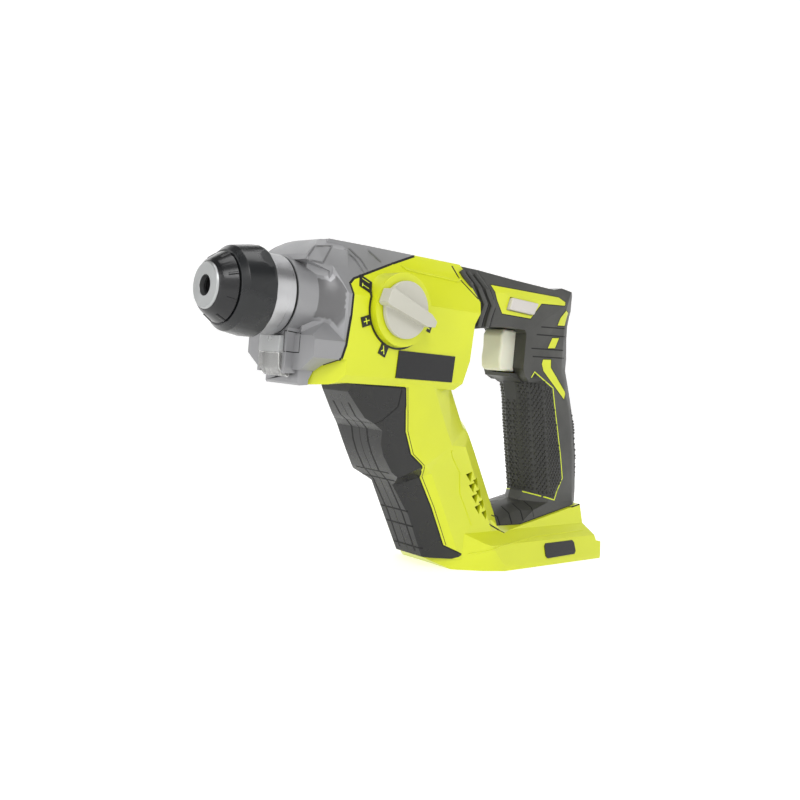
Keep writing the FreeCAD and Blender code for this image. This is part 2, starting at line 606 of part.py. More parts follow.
# regions that divide the outer form between mouldings, drawn in the side view
SEAM_FRONT = [(30.0, -70.0), (52.6, -70.0), (52.8, -41.0), (54.4, -37.0),
              (55.2, -33.4), (62.6, -29.4), (64.8, -22.1), (66.4, -7.0), (66.8, 9.5),
              (71.0, 12.4), (122.0, 31.6), (122.0, 45.0), (30.0, 45.0)]
COVER_FRONT = [(70.0, -41.0), (109.5, -41.0), (111.0, -53.5), (114.0, -65.2),
               (120.0, -77.7), (127.6, -83.8), (143.4, -108.9), (156.0, -131.3),
               (168.5, -137.0), (163.0, -139.5), (120.0, -139.5), (70.0, -90.0)]
COVER_TOP = [(70.0, -30.0), (107.0, -30.0), (107.0, -52.0), (98.5, -62.2), (70.0, -90.0)]
OVERMOLD = [(151.0, 40.0), (151.0, 27.2), (156.7, 21.1), (166.7, 10.2), (159.5, -1.0),
            (155.0, -6.0), (155.0, -20.0), (195.0, -20.0), (190.0, -121.0), (203.0, -125.8),
            (274.5, -113.8), (310.0, -108.0), (310.0, 40.0)]

outer_sum = fuse("outer_sum", [body_solid("_out", 0.0), column_solid("_out", 0.0),
                               foot_solid("_out", 0.0), handle_solid("_core", SIZES["skin"])])
outer_all = cut("outer_all", outer_sum, chin_cut("_out", 0.0))
wall = SIZES["wall"]
inner_sum = fuse("inner_sum", [body_solid("_in", wall), column_solid("_in", wall),
                               foot_solid("_in", wall),
                               handle_solid("_in", SIZES["skin"] + wall)])
inner_all = cut("inner_all", inner_sum, chin_cut("_in", wall))
seat_boss = rod("seat_boss", "dial_seat_r",
                V(SIZES["dial_x"], -SIZES["dial_seat_y"], SIZES["dial_z"]), Y_AXIS, 14.0)
seam_front = prism("seam_front", "XZ_Plane", SEAM_FRONT, WIDE, both_sides=True)
cover_front = prism("cover_front", "XZ_Plane", COVER_FRONT, WIDE, both_sides=True)
cover_top = prism("cover_top", "XZ_Plane", COVER_TOP, WIDE, both_sides=True)
overmold_area = prism("overmold_area", "XZ_Plane", OVERMOLD, WIDE, both_sides=True)

# ------------------------------------------------------------------- gear case
hood_side = prism("hood_side", "XZ_Plane", [
    (58.0, -10.0), (58.0, 14.0), (43.5, 18.0), (44.2, 21.0), (47.0, 24.0), (53.0, 28.6),
    (57.0, 30.3), (63.0, 31.2), (70.0, 31.3), (70.0, -10.0)], WIDE, both_sides=True)
hood_section = prism("hood_section", "YZ_Plane", mirrored([
    (20.0, -12.0), (20.0, 15.5), (17.5, 26.0), (9.0, 31.6)]), 40.0, 40.0)
hood = common("hood", [hood_side, hood_section])
neck = rod("neck", "neck_r", V(SIZES["neck_front_x"], 0, 0), X_AXIS, 30.0)
front_plan = prism("front_plan", "XY_Plane", swap(mirrored([
    (14.0, 48.0), (20.0, 60.0), (28.0, 64.0), (30.0, 70.0), (30.0, 130.0)])), 100.0, -50.0)
main_block = common("main_block", [doc.getObject("body_form_out"), seam_front, front_plan])
boss_section = prism("boss_section", "YZ_Plane", mirrored([
    (18.0, -36.5), (28.8, -29.6), (28.8, -20.6), (18.0, -10.5)]), 26.0, 45.5)
boss_side = prism("boss_side", "XZ_Plane", [
    (45.5, -40.0), (45.5, -19.0), (58.0, -11.5), (72.0, -10.0), (72.0, -40.0)], WIDE,
    both_sides=True)
boss = common("side_boss", [boss_section, boss_side, seam_front])
led_block = box("led_block", 41.0, 60.0, -12.0, 12.0, -38.5, -16.0)
flare_cone = turned("flare_cone", [
    (50.0, 0.0), (50.0, 19.6), (53.0, 20.2), (56.0, 21.3), (58.5, 22.7), (60.5, 24.2),
    (62.3, 26.0), (63.8, 28.0), (64.8, 29.8), (68.0, 29.8), (68.0, 0.0)])
flare = common("flare", [flare_cone, doc.getObject("body_form_out"), seam_front])
case_outer = fuse("case_outer", [neck, hood, flare, main_block, boss, led_block])
neck_bore = rod("neck_bore", "neck_bore_r", V(39.0, 0, 0), X_AXIS, 30.0)
case_room = common("case_room", [
    doc.getObject("body_form_in"),
    prism("case_room_plan", "XY_Plane", swap(mirrored([
        (12.0, 52.0), (17.5, 62.0), (26.0, 68.0), (26.0, 130.0)])), 100.0, -50.0)])
lay_room = rod("lay_room", "lay_bearing_r", V(51.0, 0, -SIZES["lay_drop"]), X_AXIS, 16.0)
lens_room = box("lens_room", 36.0, 46.6, -9.2, 9.2, -41.0, -19.5)
gear_room = rod("gear_room", 21.2, V(63.9, 0, 0), X_AXIS, 11.0)
pinion_room = rod("pinion_room", 8.3, V(63.9, 0, -SIZES["lay_drop"]), X_AXIS, 11.0)
case_voids = fuse("case_voids", [neck_bore, case_room, lay_room, lens_room, gear_room,
                                 pinion_room])
node(cut("gear_case", case_outer, case_voids), "gear_case")

node(box("led_window", 38.8, 46.5, -9.1, 9.1, -28.4, -20.0), "led_window")
lens_side = prism("lens_side", "XZ_Plane", [
    (38.8, -28.5), (39.4, -36.2), (43.0, -40.2), (46.5, -40.6), (46.5, -28.5)], 18.2,
    both_sides=True)
node(lens_side, "led_lens")

# --------------------------------------------------------------- clam-shell halves
screw_spots = [(124.0, 22.0), (150.0, 20.2), (152.0, -34.0), (192.0, 21.5),
               (258.0, 20.0), (262.0, -62.0), (188.0, -120.0), (286.0, -140.0)]
screw_half = [15.0, 17.0, 26.0, 13.0, 12.0, 15.0, 21.0, 33.0]
boss_rods = []
for i, ((x, z), reach) in enumerate(zip(screw_spots, screw_half)):
    boss_rods.append(rod("screw_boss_%d" % i, 3.8, V(x, -reach, z), Y_AXIS, 2 * reach))
posts = common("screw_posts", [fuse("screw_bosses", boss_rods), outer_all])

screws, screw_room = [], []
for i, ((x, z), reach) in enumerate(zip(screw_spots, screw_half)):
    head_y = reach - 4.0
    profile = [rod("screw_shank_%d" % i, 1.6, V(x, -6.0, z), Y_AXIS, head_y + 6.0),
               rod("screw_head_%d" % i, 2.9, V(x, head_y, z), Y_AXIS, 2.2)]
    screws.append(fuse("screw_%d" % i, profile))
    screw_room.append(rod("screw_hole_%d" % i, 1.6, V(x, -6.0, z), Y_AXIS, head_y + 6.0))
    screw_room.append(rod("screw_sink_%d" % i, 3.0, V(x, head_y, z), Y_AXIS, 40.0))
node(group("housing_screws", screws), "housing_screws")

trigger_room = box("trigger_room", 200.0, 232.0, -8.3, 8.3, -28.2, -0.9)
selector_room = prism("selector_room", "XZ_Plane", [
    (199.5, 17.6), (197.0, 9.4), (221.5, 8.4), (225.5, 16.6)], WIDE, both_sides=True)
battery_room = box("battery_room", 196.0, 284.0, -27.0, 27.0, -150.0, -131.0)
drive_opening = box("drive_opening", 104.0, 150.0, -20.0, 20.0, -44.0, -36.0)
inner_used = cut("inner_used", inner_all, posts)
shell_solid = cut("shell_solid", fuse("shell_sum", [outer_all, seat_boss]), inner_used)
vent_tools = []
vent_rows = [(172.5, -89.5), (175.8, -96.0), (179.1, -102.5), (182.4, -109.0)]
for i, (x, z) in enumerate(vent_rows):
    for j in range(2):
        corner = (x + 6.6 * j - 6.5, z - 3.6 * j)
        tri = [corner, (corner[0] + 5.2, corner[1] + 1.6), (corner[0] + 4.4, corner[1] - 4.6)]
        vent_tools.append(prism("vent_%d_%d" % (i, j), "XZ_Plane", tri, WIDE,
                                both_sides=True))
hub_hole = rod("hub_hole", 8.06, V(SIZES["dial_x"], -40.0, SIZES["dial_z"]), Y_AXIS, 20.0)
shell_tools = fuse("shell_tools", [
    seam_front, cover_front, led_block, drive_opening,
    trigger_room, selector_room, battery_room, hub_hole] + vent_tools
    + screw_room)
shell_cut = cut("shell_cut", shell_solid, shell_tools)

# ---------------------------------------------------------------- motor covers
lower_out = fuse("lower_out", [doc.getObject("column_form_out"),
                               doc.getObject("foot_form_out")])
lower_in = fuse("lower_in", [doc.getObject("column_form_in"), doc.getObject("foot_form_in")])
column_shell = cut("column_shell", lower_out, lower_in)
below_body = box("below_body", 60.0, 200.0, -40.0, 40.0, -150.0, -41.2)
cover_shell = common("cover_shell", [column_shell, cover_front, below_body])
top_piece = common("top_piece", [cover_shell, cover_top])
node(top_piece, "front_cover")
lower_piece = cut("lower_piece", cover_shell, cover_top)
node(mating_half("motor_cover_left", lower_piece, -1), "motor_cover_left")
node(mating_half("motor_cover_right", lower_piece, 1), "motor_cover_right")

# ------------------------------------------------------------ soft grip mouldings
INLAYS = {
    "wedge": [(183.0, 23.2), (187.6, 14.3), (193.3, 6.6), (220.7, 6.3), (230.2, 16.7),
              (253.9, 18.0), (255.8, 20.8), (249.9, 23.4)],
    "stripe_top": [(256.0, 15.6), (263.5, 14.6), (258.0, 9.0), (255.6, 5.0),
                   (248.0, 4.6), (250.5, 10.0)],
    "stripe_mid": [(244.0, -3.4), (251.5, -2.8), (248.0, -10.2), (240.0, -10.8)],
    "stripe_low": [(236.5, -17.8), (245.0, -17.3), (245.6, -22.5), (263.6, -38.2),
                   (262.4, -43.0), (238.0, -25.5), (235.6, -21.0)],
}
PAD_AREA = [(205.0, -36.0), (222.0, -34.6), (226.6, -30.2), (229.4, -26.4),
            (249.5, -35.7), (256.0, -56.4), (263.8, -79.5), (268.2, -95.0),
            (260.5, -109.2), (241.0, -104.6), (235.0, -103.6), (205.0, -103.2)]
BACK_PAD_AREA = [(275.5, -50.5), (283.0, -47.0), (305.0, -44.0), (310.0, -98.0),
                 (292.6, -99.0), (288.4, -94.0)]
BOOT_AREA = [(140.0, 45.0), (176.0, 45.0), (176.0, 30.0), (187.0, 9.6), (183.4, -8.0),
             (140.0, -8.0)]

hard_parts = fuse("hard_parts", [doc.getObject("handle_form_core"),
                                 doc.getObject("body_form_out"),
                                 doc.getObject("column_form_out"),
                                 doc.getObject("foot_form_out")])
trigger_lip = prism("trigger_lip", "XZ_Plane", LIP_SIDE, 21.0, both_sides=True)
skin_sum = fuse("skin_sum", [handle_solid("_skin", 0.0), trigger_lip])
skin_area = common("skin_area", [skin_sum, overmold_area])
skin_tools = fuse("skin_tools", [hard_parts, trigger_room, selector_room])
skin = cut("skin_form", skin_area, skin_tools)


def area(name, points):
    return prism(name, "XZ_Plane", points, WIDE, both_sides=True)


side_reach = fuse("side_reach", [box("reach_a", 140, 310, -60, -11.5, -130, 50),
                                 box("reach_b", 140, 310, 11.5, 60, -130, 50)])
inlay_areas = fuse("inlay_areas", [area("area_" + key, pts) for key, pts in INLAYS.items()])
inlay_tool = common("inlay_tool", [inlay_areas, side_reach])
pad_tool = area("pad_tool", PAD_AREA)
back_tool = area("back_tool", BACK_PAD_AREA)
boot_tool = area("boot_tool", BOOT_AREA)

inlay_form = common("inlay_form", [skin, inlay_tool])
shell_final = fuse("shell_final", [shell_cut, inlay_form])
node(mating_half("left_housing", shell_final, -1), "left_housing")
node(mating_half("right_housing", shell_final, 1), "right_housing")

pad_form = common("pad_form", [skin, pad_tool])
node(mating_half("grip_pad_left", pad_form, -1), "grip_pad_left")
node(mating_half("grip_pad_right", pad_form, 1), "grip_pad_right")
node(common("rear_grip_pad", [skin, back_tool]), "rear_grip_pad")
node(common("handle_boot", [skin, boot_tool]), "handle_boot")
grip_form = cut("grip_form_rest", skin,
                fuse("grip_cuts", [inlay_tool, pad_tool, back_tool, boot_tool]))
node(mating_half("grip_overmold_left", grip_form, -1), "grip_overmold_left")
node(mating_half("grip_overmold_right", grip_form, 1), "grip_overmold_right")

# -------------------------------------------------------------------- controls
trigger_width = 2 * SIZES["trigger_half"]
trigger = prism("trigger", "XZ_Plane", [
    ("trigger_front_x", -5.0), (205.6, -13.0), ("trigger_front_x", -20.0), (205.8, -25.6),
    (208.6, -27.6), (224.0, -27.6), (224.0, -1.4), (207.5, -1.4)], trigger_width,
    both_sides=True)
node(trigger, "trigger")
node(box("switch_body", 234.0, 256.5, -10.0, 10.0, -26.5, -4.0), "switch_body")
trigger_coil = Part.Wire(Part.makeHelix(2.2, 8.8, 4.0).Edges)
coil_wire = Part.Wire(Part.makeCircle(0.5, V(4.0, 0, 0), Y_AXIS))
spring = doc.addObject("Part::Feature", "trigger_spring")
spring.Shape = trigger_coil.makePipeShell([coil_wire], True, True)
spring.Placement = Place(V(224.55, 0, -14.5), Turn(Z_AXIS, X_AXIS))
node(spring, "trigger_spring")
selector = prism("direction_selector", "XZ_Plane", [
    (199.8, 17.2), (197.5, 9.8), (221.3, 8.8), (225.0, 16.3)], 39.0, both_sides=True)
node(selector, "direction_selector")

dial_centre = V(SIZES["dial_x"], -SIZES["dial_seat_y"] - 0.3, SIZES["dial_z"])
out_left = V(0, -1, 0)
dial_disc = rod("dial_disc", "dial_r", dial_centre, out_left, 2.4)
dial_hub = rod("dial_hub", "dial_hub_r", dial_centre, Y_AXIS, 8.0)
rest_angle = math.radians(SIZES["dial_rest_angle"])
bar_half = SIZES["dial_bar_length"] / 2
bar_side = SIZES["dial_bar_width"] / 2
dial_bar = prism("dial_bar", "XZ_Plane", [
    (-bar_half, -bar_side + 0.8), (-bar_half + 1.6, -bar_side), (bar_half - 5.0, -3.6),
    (bar_half, -1.6), (bar_half, 1.6), (bar_half - 5.0, 3.6), (-bar_half + 1.6, bar_side),
    (-bar_half, bar_side - 0.8)], SIZES["dial_top_y"] - SIZES["dial_seat_y"] - 0.3)
dial_bar.Placement = Place(dial_centre, Turn(Y_AXIS, -SIZES["dial_rest_angle"]))
pin_start = V(SIZES["dial_x"] + SIZES["dial_offset"] * math.cos(rest_angle), -26.0,
              SIZES["dial_z"] + SIZES["dial_offset"] * math.sin(rest_angle))
dial_pin = rod("dial_pin", 2.0, pin_start, Y_AXIS, 3.6)
node(fuse("mode_dial", [dial_disc, dial_hub, dial_bar, dial_pin]), "mode_dial")

slot_half = 3.5
slot_x = pin_start.x
plate_flat = prism("plate_flat", "XZ_Plane", [
    (83.6, -29.0), (85.8, -29.0), (85.8, -14.0), (92.0, -8.6), (108.0, -8.6), (108.0, 2.6),
    (slot_x + slot_half, 2.6), (slot_x + slot_half, -6.2), (slot_x - slot_half, -6.2),
    (slot_x - slot_half, 2.6), (88.0, 2.6), (83.6, -8.0)], 1.6, 23.6)
plate_fork = box("plate_fork", 83.6, 85.8, -24.0, -7.4, -29.0, -23.0)
node(fuse("shift_plate", [plate_flat, plate_fork]), "shift_plate")

# ------------------------------------------------------------- labels and marks
thin = SIZES["plate_thickness"]
body_skin = cut("body_label_skin", body_solid("_label", -thin),
                doc.getObject("body_form_out"))
side_label = area("side_label_area", [(99.8, -36.6), (142.3, -36.8), (143.3, -22.2),
                                      (100.7, -22.0)])
label_form = common("label_form", [body_skin, side_label])
label_keep = fuse("label_keep", [box("label_a", 90, 150, -40, -20, -40, -10),
                                 box("label_b", 90, 150, 20, 40, -40, -10)])
node(common("side_labels", [label_form, label_keep]), "side_labels")

foot_skin = cut("foot_label_skin", foot_solid("_label", -thin),
                doc.getObject("foot_form_out"))
badge_area = area("badge_area", [(233.5, -141.6), (261.5, -141.0), (263.2, -139.4),
                                 (263.0, -134.0), (261.4, -132.6), (233.8, -132.8),
                                 (232.2, -134.4), (232.0, -140.2)])
badge_keep = fuse("badge_keep", [box("badge_a", 220, 270, -45, -30, -144, -130),
                                 box("badge_b", 220, 270, 30, 45, -144, -130)])
node(common("foot_badges", [foot_skin, badge_area, badge_keep]), "foot_badges")

mark_ring = cut("mark_ring", rod("ring_out", 20.85, V(0, 0, 0), Z_AXIS, 40.0),
                rod("ring_in", 19.9, V(0, 0, 0), Z_AXIS, 40.0))
arc_area = prism("arc_area", "XY_Plane", [(0.0, 0.0)] + [
    (40 * math.cos(math.radians(a)), 40 * math.sin(math.radians(a)))
    for a in (146, 180, 215, 250, 285, 315, 344)], 40.0)
tabs = []
for i, (angle, reach, half) in enumerate(((152.0, 27.0, 3.6), (200.0, 26.4, 2.6),
                                          (248.0, 26.4, 2.6), (341.0, 25.4, 1.8))):
    tab = box("mark_tab_%d" % i, 19.9, reach, -half, half, 0.0, 40.0)
    tab.Placement = Place(V(0, 0, 0), Turn(Z_AXIS, angle)).multiply(tab.Placement)
    tabs.append(tab)
marks = fuse("marks", [common("mark_arc", [mark_ring, arc_area])] + tabs)
marks.Placement = Place(V(SIZES["dial_x"], -2.0, SIZES["dial_z"]), Turn(X_AXIS, 90.0))
seat_hole = rod("seat_hole", 19.6, V(SIZES["dial_x"], -45.0, SIZES["dial_z"]), Y_AXIS, 45.0)
node(cut("dial_marks", common("dial_marks_form", [body_skin, marks]), seat_hole),
     "dial_marks")

# ----------------------------------------------------- supports and battery contacts
bearing_holes = rod("plate_hole", "bearing_outer_r", V(79.0, 0, 0), X_AXIS, 9.0)
plate_blank = prism("plate_blank", "YZ_Plane", [
    (-20.5, -10.0), (20.5, -10.0), (20.5, 10.5), (12.0, 22.0), (9.0, 28.9), (-9.0, 28.9),
    (-12.0, 22.0), (-20.5, 10.5)], 6.0, 80.3)
node(cut("bearing_plate", plate_blank, bearing_holes), "bearing_plate")
support_hole = rod("support_hole", "lay_bearing_r", V(129.0, 0, -SIZES["lay_drop"]), X_AXIS,
                   9.0)
support_blank = prism("support_blank", "YZ_Plane", [
    (-23.5, -38.4), (23.5, -38.4), (26.4, -36.0), (26.4, -15.0), (-26.4, -15.0),
    (-26.4, -36.0)], 4.8, 130.6)
node(cut("rear_support", support_blank, support_hole), "rear_support")

node(box("terminal_block", 240.0, 262.0, -10.0, 10.0, -131.0, -122.6), "terminal_block")
blades = [box("blade_%d" % i, 246.0, 258.0, y - 0.4, y + 0.4, -136.0, -131.0)
          for i, y in enumerate((-7.0, 0.0, 7.0))]
node(group("terminal_blades", blades), "terminal_blades")

doc.recompute()
for item in doc.Objects:
    bad = [flag for flag in item.State if flag in ("Invalid", "Error")]
    if bad:
        raise RuntimeError("%s is %s" % (item.Label, bad))
os.makedirs("parts", exist_ok=True)
for item in NODES:
    shape = item.Shape
    if shape.isNull() or not shape.isValid() or not shape.Solids:
        raise RuntimeError("bad shape: " + item.Label)
    shape.exportStep("parts/%s.step" % item.Label)
print("%d nodes" % len(NODES))
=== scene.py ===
import json
import math

import bmesh
import bpy
from mathutils import Matrix, Vector
from mathutils.bvhtree import BVHTree

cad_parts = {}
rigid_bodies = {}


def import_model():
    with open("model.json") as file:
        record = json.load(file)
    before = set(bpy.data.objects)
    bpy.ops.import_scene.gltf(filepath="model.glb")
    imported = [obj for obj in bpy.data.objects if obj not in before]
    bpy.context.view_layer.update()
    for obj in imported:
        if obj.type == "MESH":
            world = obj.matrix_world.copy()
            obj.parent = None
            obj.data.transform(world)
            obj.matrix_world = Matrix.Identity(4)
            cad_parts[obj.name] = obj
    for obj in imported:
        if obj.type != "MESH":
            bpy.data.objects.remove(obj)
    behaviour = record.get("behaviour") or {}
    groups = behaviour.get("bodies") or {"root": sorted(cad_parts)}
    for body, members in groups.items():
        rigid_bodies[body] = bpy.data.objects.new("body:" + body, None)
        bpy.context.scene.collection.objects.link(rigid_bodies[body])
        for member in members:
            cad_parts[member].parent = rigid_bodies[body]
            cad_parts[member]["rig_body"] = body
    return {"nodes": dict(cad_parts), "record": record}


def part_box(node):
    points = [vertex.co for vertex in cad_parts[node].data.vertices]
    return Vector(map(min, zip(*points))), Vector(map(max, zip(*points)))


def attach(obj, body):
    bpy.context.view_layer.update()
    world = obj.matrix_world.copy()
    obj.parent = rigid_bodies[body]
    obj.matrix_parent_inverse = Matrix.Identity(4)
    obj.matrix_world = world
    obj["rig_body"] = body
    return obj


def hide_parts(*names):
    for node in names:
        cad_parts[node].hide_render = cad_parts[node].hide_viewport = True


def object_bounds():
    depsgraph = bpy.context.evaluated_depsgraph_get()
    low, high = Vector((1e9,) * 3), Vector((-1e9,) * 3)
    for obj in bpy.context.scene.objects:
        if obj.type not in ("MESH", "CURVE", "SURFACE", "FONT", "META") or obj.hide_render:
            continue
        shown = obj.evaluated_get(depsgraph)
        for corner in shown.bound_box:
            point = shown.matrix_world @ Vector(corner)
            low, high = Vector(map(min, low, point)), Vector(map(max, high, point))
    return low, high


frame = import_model()
CAD_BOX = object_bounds()

# Rotary hammer: x runs back from the nose, y away from the dial side, z up.
MM = 0.001
LEFT, RIGHT = -1.0, 1.0
SIDES = {"left": LEFT, "right": RIGHT}
NODES = frame["nodes"]

# ------------------------------------------------------------------ materials


NOISE_RANGE = (0.3, 0.7)        # the part of a noise that varies the roughness
COLOUR_STOPS = (0.32, 0.68)     # where the darker and the lighter colour sit


class Shader:
    """A node material with short ways to add noise, bump and colour variation."""

    def __init__(self, name, base, roughness, **sockets):
        self.material = bpy.data.materials.new(name)
        self.material.use_nodes = True
        self.tree = self.material.node_tree
        self.bsdf = self.tree.nodes["Principled BSDF"]
        self.base = base
        self.roughness = roughness
        self.bsdf.inputs["Base Color"].default_value = (*base, 1.0)
        self.bsdf.inputs["Roughness"].default_value = roughness
        for key, value in sockets.items():
            self.bsdf.inputs[key.replace("_", " ")].default_value = value
        self.coords = self.node("ShaderNodeTexCoord")
        self.last_normal = None
        self.colour_out = None

    def node(self, kind, **values):
        item = self.tree.nodes.new(kind)
        for key, value in values.items():
            setattr(item, key, value)
        return item

    def link(self, source, target):
        self.tree.links.new(source, target)

    def noise(self, scale, detail=3.0, rough=0.5, stretch=None):
        item = self.node("ShaderNodeTexNoise")
        item.inputs["Scale"].default_value = scale
        item.inputs["Detail"].default_value = detail
        item.inputs["Roughness"].default_value = rough
        source = self.coords.outputs["Object"]
        if stretch:
            mapping = self.node("ShaderNodeMapping")
            mapping.inputs["Scale"].default_value = stretch
            self.link(source, mapping.inputs["Vector"])
            source = mapping.outputs["Vector"]
        self.link(source, item.inputs["Vector"])
        return item.outputs["Fac"]

    def voronoi(self, scale):
        item = self.node("ShaderNodeTexVoronoi", feature="SMOOTH_F1")
        item.inputs["Scale"].default_value = scale
        self.link(self.coords.outputs["Object"], item.inputs["Vector"])
        return item.outputs["Distance"]

    def bump(self, height, strength, depth_mm):
        item = self.node("ShaderNodeBump")
        item.inputs["Strength"].default_value = strength
        item.inputs["Distance"].default_value = depth_mm * MM
        self.link(height, item.inputs["Height"])
        if self.last_normal:
            self.link(self.last_normal, item.inputs["Normal"])
        self.last_normal = item.outputs["Normal"]
        self.link(self.last_normal, self.bsdf.inputs["Normal"])
        return self

    def vary_roughness(self, source, amount):
        item = self.node("ShaderNodeMapRange")
        item.inputs["From Min"].default_value = NOISE_RANGE[0]
        item.inputs["From Max"].default_value = NOISE_RANGE[1]
        item.inputs["To Min"].default_value = self.roughness - amount
        item.inputs["To Max"].default_value = self.roughness + amount
        self.link(source, item.inputs["Value"])
        self.link(item.outputs["Result"], self.bsdf.inputs["Roughness"])
        return self

    def vary_colour(self, source, darker, lighter):
        ramp = self.node("ShaderNodeValToRGB")
        low, high = ramp.color_ramp.elements
        low.position, high.position = COLOUR_STOPS
        low.color = tuple(c * darker for c in self.base) + (1.0,)
        high.color = tuple(min(1.0, c * lighter) for c in self.base) + (1.0,)
        self.link(source, ramp.inputs["Fac"])
        self.link(ramp.outputs["Color"], self.bsdf.inputs["Base Color"])
        self.colour_out = ramp.outputs["Color"]
        return self

    def wear_and_edge_highlight(self, colour, start=0.53, end=0.60, share=0.7):
        """Lighter convex edges: partly wear, as on handled paint and moulded plastic, partly
        a painted highlight where the rounded edges catch the light.
        """
        geometry = self.node("ShaderNodeNewGeometry")
        edge = self.node("ShaderNodeMapRange")
        edge.inputs["From Min"].default_value = start
        edge.inputs["From Max"].default_value = end
        edge.inputs["To Max"].default_value = share
        self.link(geometry.outputs["Pointiness"], edge.inputs["Value"])
        mix = self.node("ShaderNodeMix", data_type="RGBA")
        self.link(edge.outputs["Result"], mix.inputs["Factor"])
        self.link(self.colour_out, mix.inputs["A"])
        mix.inputs["B"].default_value = (*colour, 1.0)
        self.link(mix.outputs["Result"], self.bsdf.inputs["Base Color"])
        return self


def moulded(name, base, roughness, grain_scale=2600.0, grain=0.25, depth=0.05, **sockets):
    """Plastic with a fine spark-eroded grain and slightly uneven gloss."""
    shader = Shader(name, base, roughness, **sockets)
    shader.vary_colour(shader.noise(18.0, 4.0), 0.95, 1.05)
    shader.vary_roughness(shader.noise(60.0, 5.0), 0.06)
    shader.bump(shader.noise(grain_scale, 2.0), grain, depth)
    return shader


def rubber(name, base, roughness, **sockets):
    """Soft grip rubber: fine grain over a faint uneven bloom."""
    shader = Shader(name, base, roughness, **sockets)
    shader.vary_colour(shader.noise(35.0, 6.0), 0.82, 1.2)
    shader.vary_roughness(shader.noise(90.0, 4.0), 0.07)
    shader.bump(shader.voronoi(1500.0), 0.35, 0.08)
    shader.bump(shader.noise(4200.0, 2.0), 0.25, 0.04)
    return shader


def turned_metal(name, base, roughness, stretch, **sockets):
    """Metal with fine lathe lines; stretch is high along the part's own axis."""
    shader = Shader(name, base, roughness, Metallic=1.0, **sockets)
    lines = shader.noise(1.0, 4.0, 0.6, stretch)
    shader.vary_colour(shader.noise(40.0, 3.0), 0.9, 1.08)
    shader.vary_roughness(lines, 0.09)
    shader.bump(lines, 0.12, 0.03)
    return shader


LATHE_X = (5200.0, 30.0, 30.0)
LIME = (0.600, 0.650, 0.012)

MATERIALS = {
    "lime": moulded("lime_plastic", LIME, 0.34, Coat_Weight=0.15, Coat_Roughness=0.25),
    "case": moulded("case_paint", (0.135, 0.134, 0.137), 0.38, 2200.0, 0.4, 0.06,
                    Metallic=0.35),
    "overmold": rubber("overmold_rubber", (0.044, 0.044, 0.040), 0.46),
    "pad": rubber("pad_rubber", (0.020, 0.020, 0.018), 0.40),
    "black": moulded("black_plastic", (0.010, 0.010, 0.010), 0.27, 2400.0, 0.3),
    "sleeve": moulded("sleeve_plastic", (0.008, 0.009, 0.010), 0.28, 2800.0, 0.25),
    "cap": moulded("cap_rubber", (0.008, 0.008, 0.009), 0.22, 1800.0, 0.15),
    "silver": turned_metal("silver_paint", (0.52, 0.52, 0.53), 0.34, LATHE_X),
    "nose": turned_metal("nose_steel", (0.42, 0.43, 0.43), 0.42, LATHE_X),
    "steel": turned_metal("machined_steel", (0.46, 0.46, 0.47), 0.28, LATHE_X),
    "zinc": turned_metal("zinc_plate", (0.50, 0.50, 0.53), 0.30, (700.0, 700.0, 700.0)),
    "iron": turned_metal("laminated_iron", (0.16, 0.16, 0.17), 0.45, (40.0, 40.0, 3800.0)),
    "copper": turned_metal("copper", (0.72, 0.36, 0.20), 0.32, (900.0, 900.0, 900.0)),
    "brass": turned_metal("contact_brass", (0.75, 0.56, 0.27), 0.28, (900.0, 900.0, 900.0)),
    "dial": moulded("dial_plastic", (0.50, 0.49, 0.42), 0.36, 2400.0, 0.22),
    "cream": moulded("trigger_plastic", (0.74, 0.73, 0.60), 0.38, 2400.0, 0.22,
                     Subsurface_Weight=0.12, Subsurface_Scale=0.004),
    "selector": moulded("selector_plastic", (0.56, 0.53, 0.50), 0.36, 2400.0, 0.2),
    # near-black, used on the collar seal ring and on every seam, groove and crease bead,
    # where it is painted shade standing in for the shadow in the gaps
    "seam": moulded("seal_and_seam_painted_shade", (0.004, 0.004, 0.004), 0.75, 1800.0, 0.2),
    "label": moulded("label_film", (0.004, 0.004, 0.005), 0.20, 900.0, 0.06),
    "mark": moulded("printed_mark", (0.006, 0.006, 0.006), 0.42, 2600.0, 0.15),
    "lime_line": moulded("lime_outline", (0.62, 0.72, 0.02), 0.40, 2600.0, 0.2),
    "clear": moulded("clear_lens", (0.93, 0.93, 0.91), 0.10, 900.0, 0.08, depth=0.03,
                     Transmission_Weight=0.92, IOR=1.49),
    "frost": moulded("frosted_window", (0.72, 0.73, 0.73), 0.32, 1400.0, 0.2,
                     Transmission_Weight=0.55, IOR=1.49),
}
# the grey case's edges are lightened: wear together with a painted edge highlight
MATERIALS["case"].wear_and_edge_highlight((0.36, 0.36, 0.37))

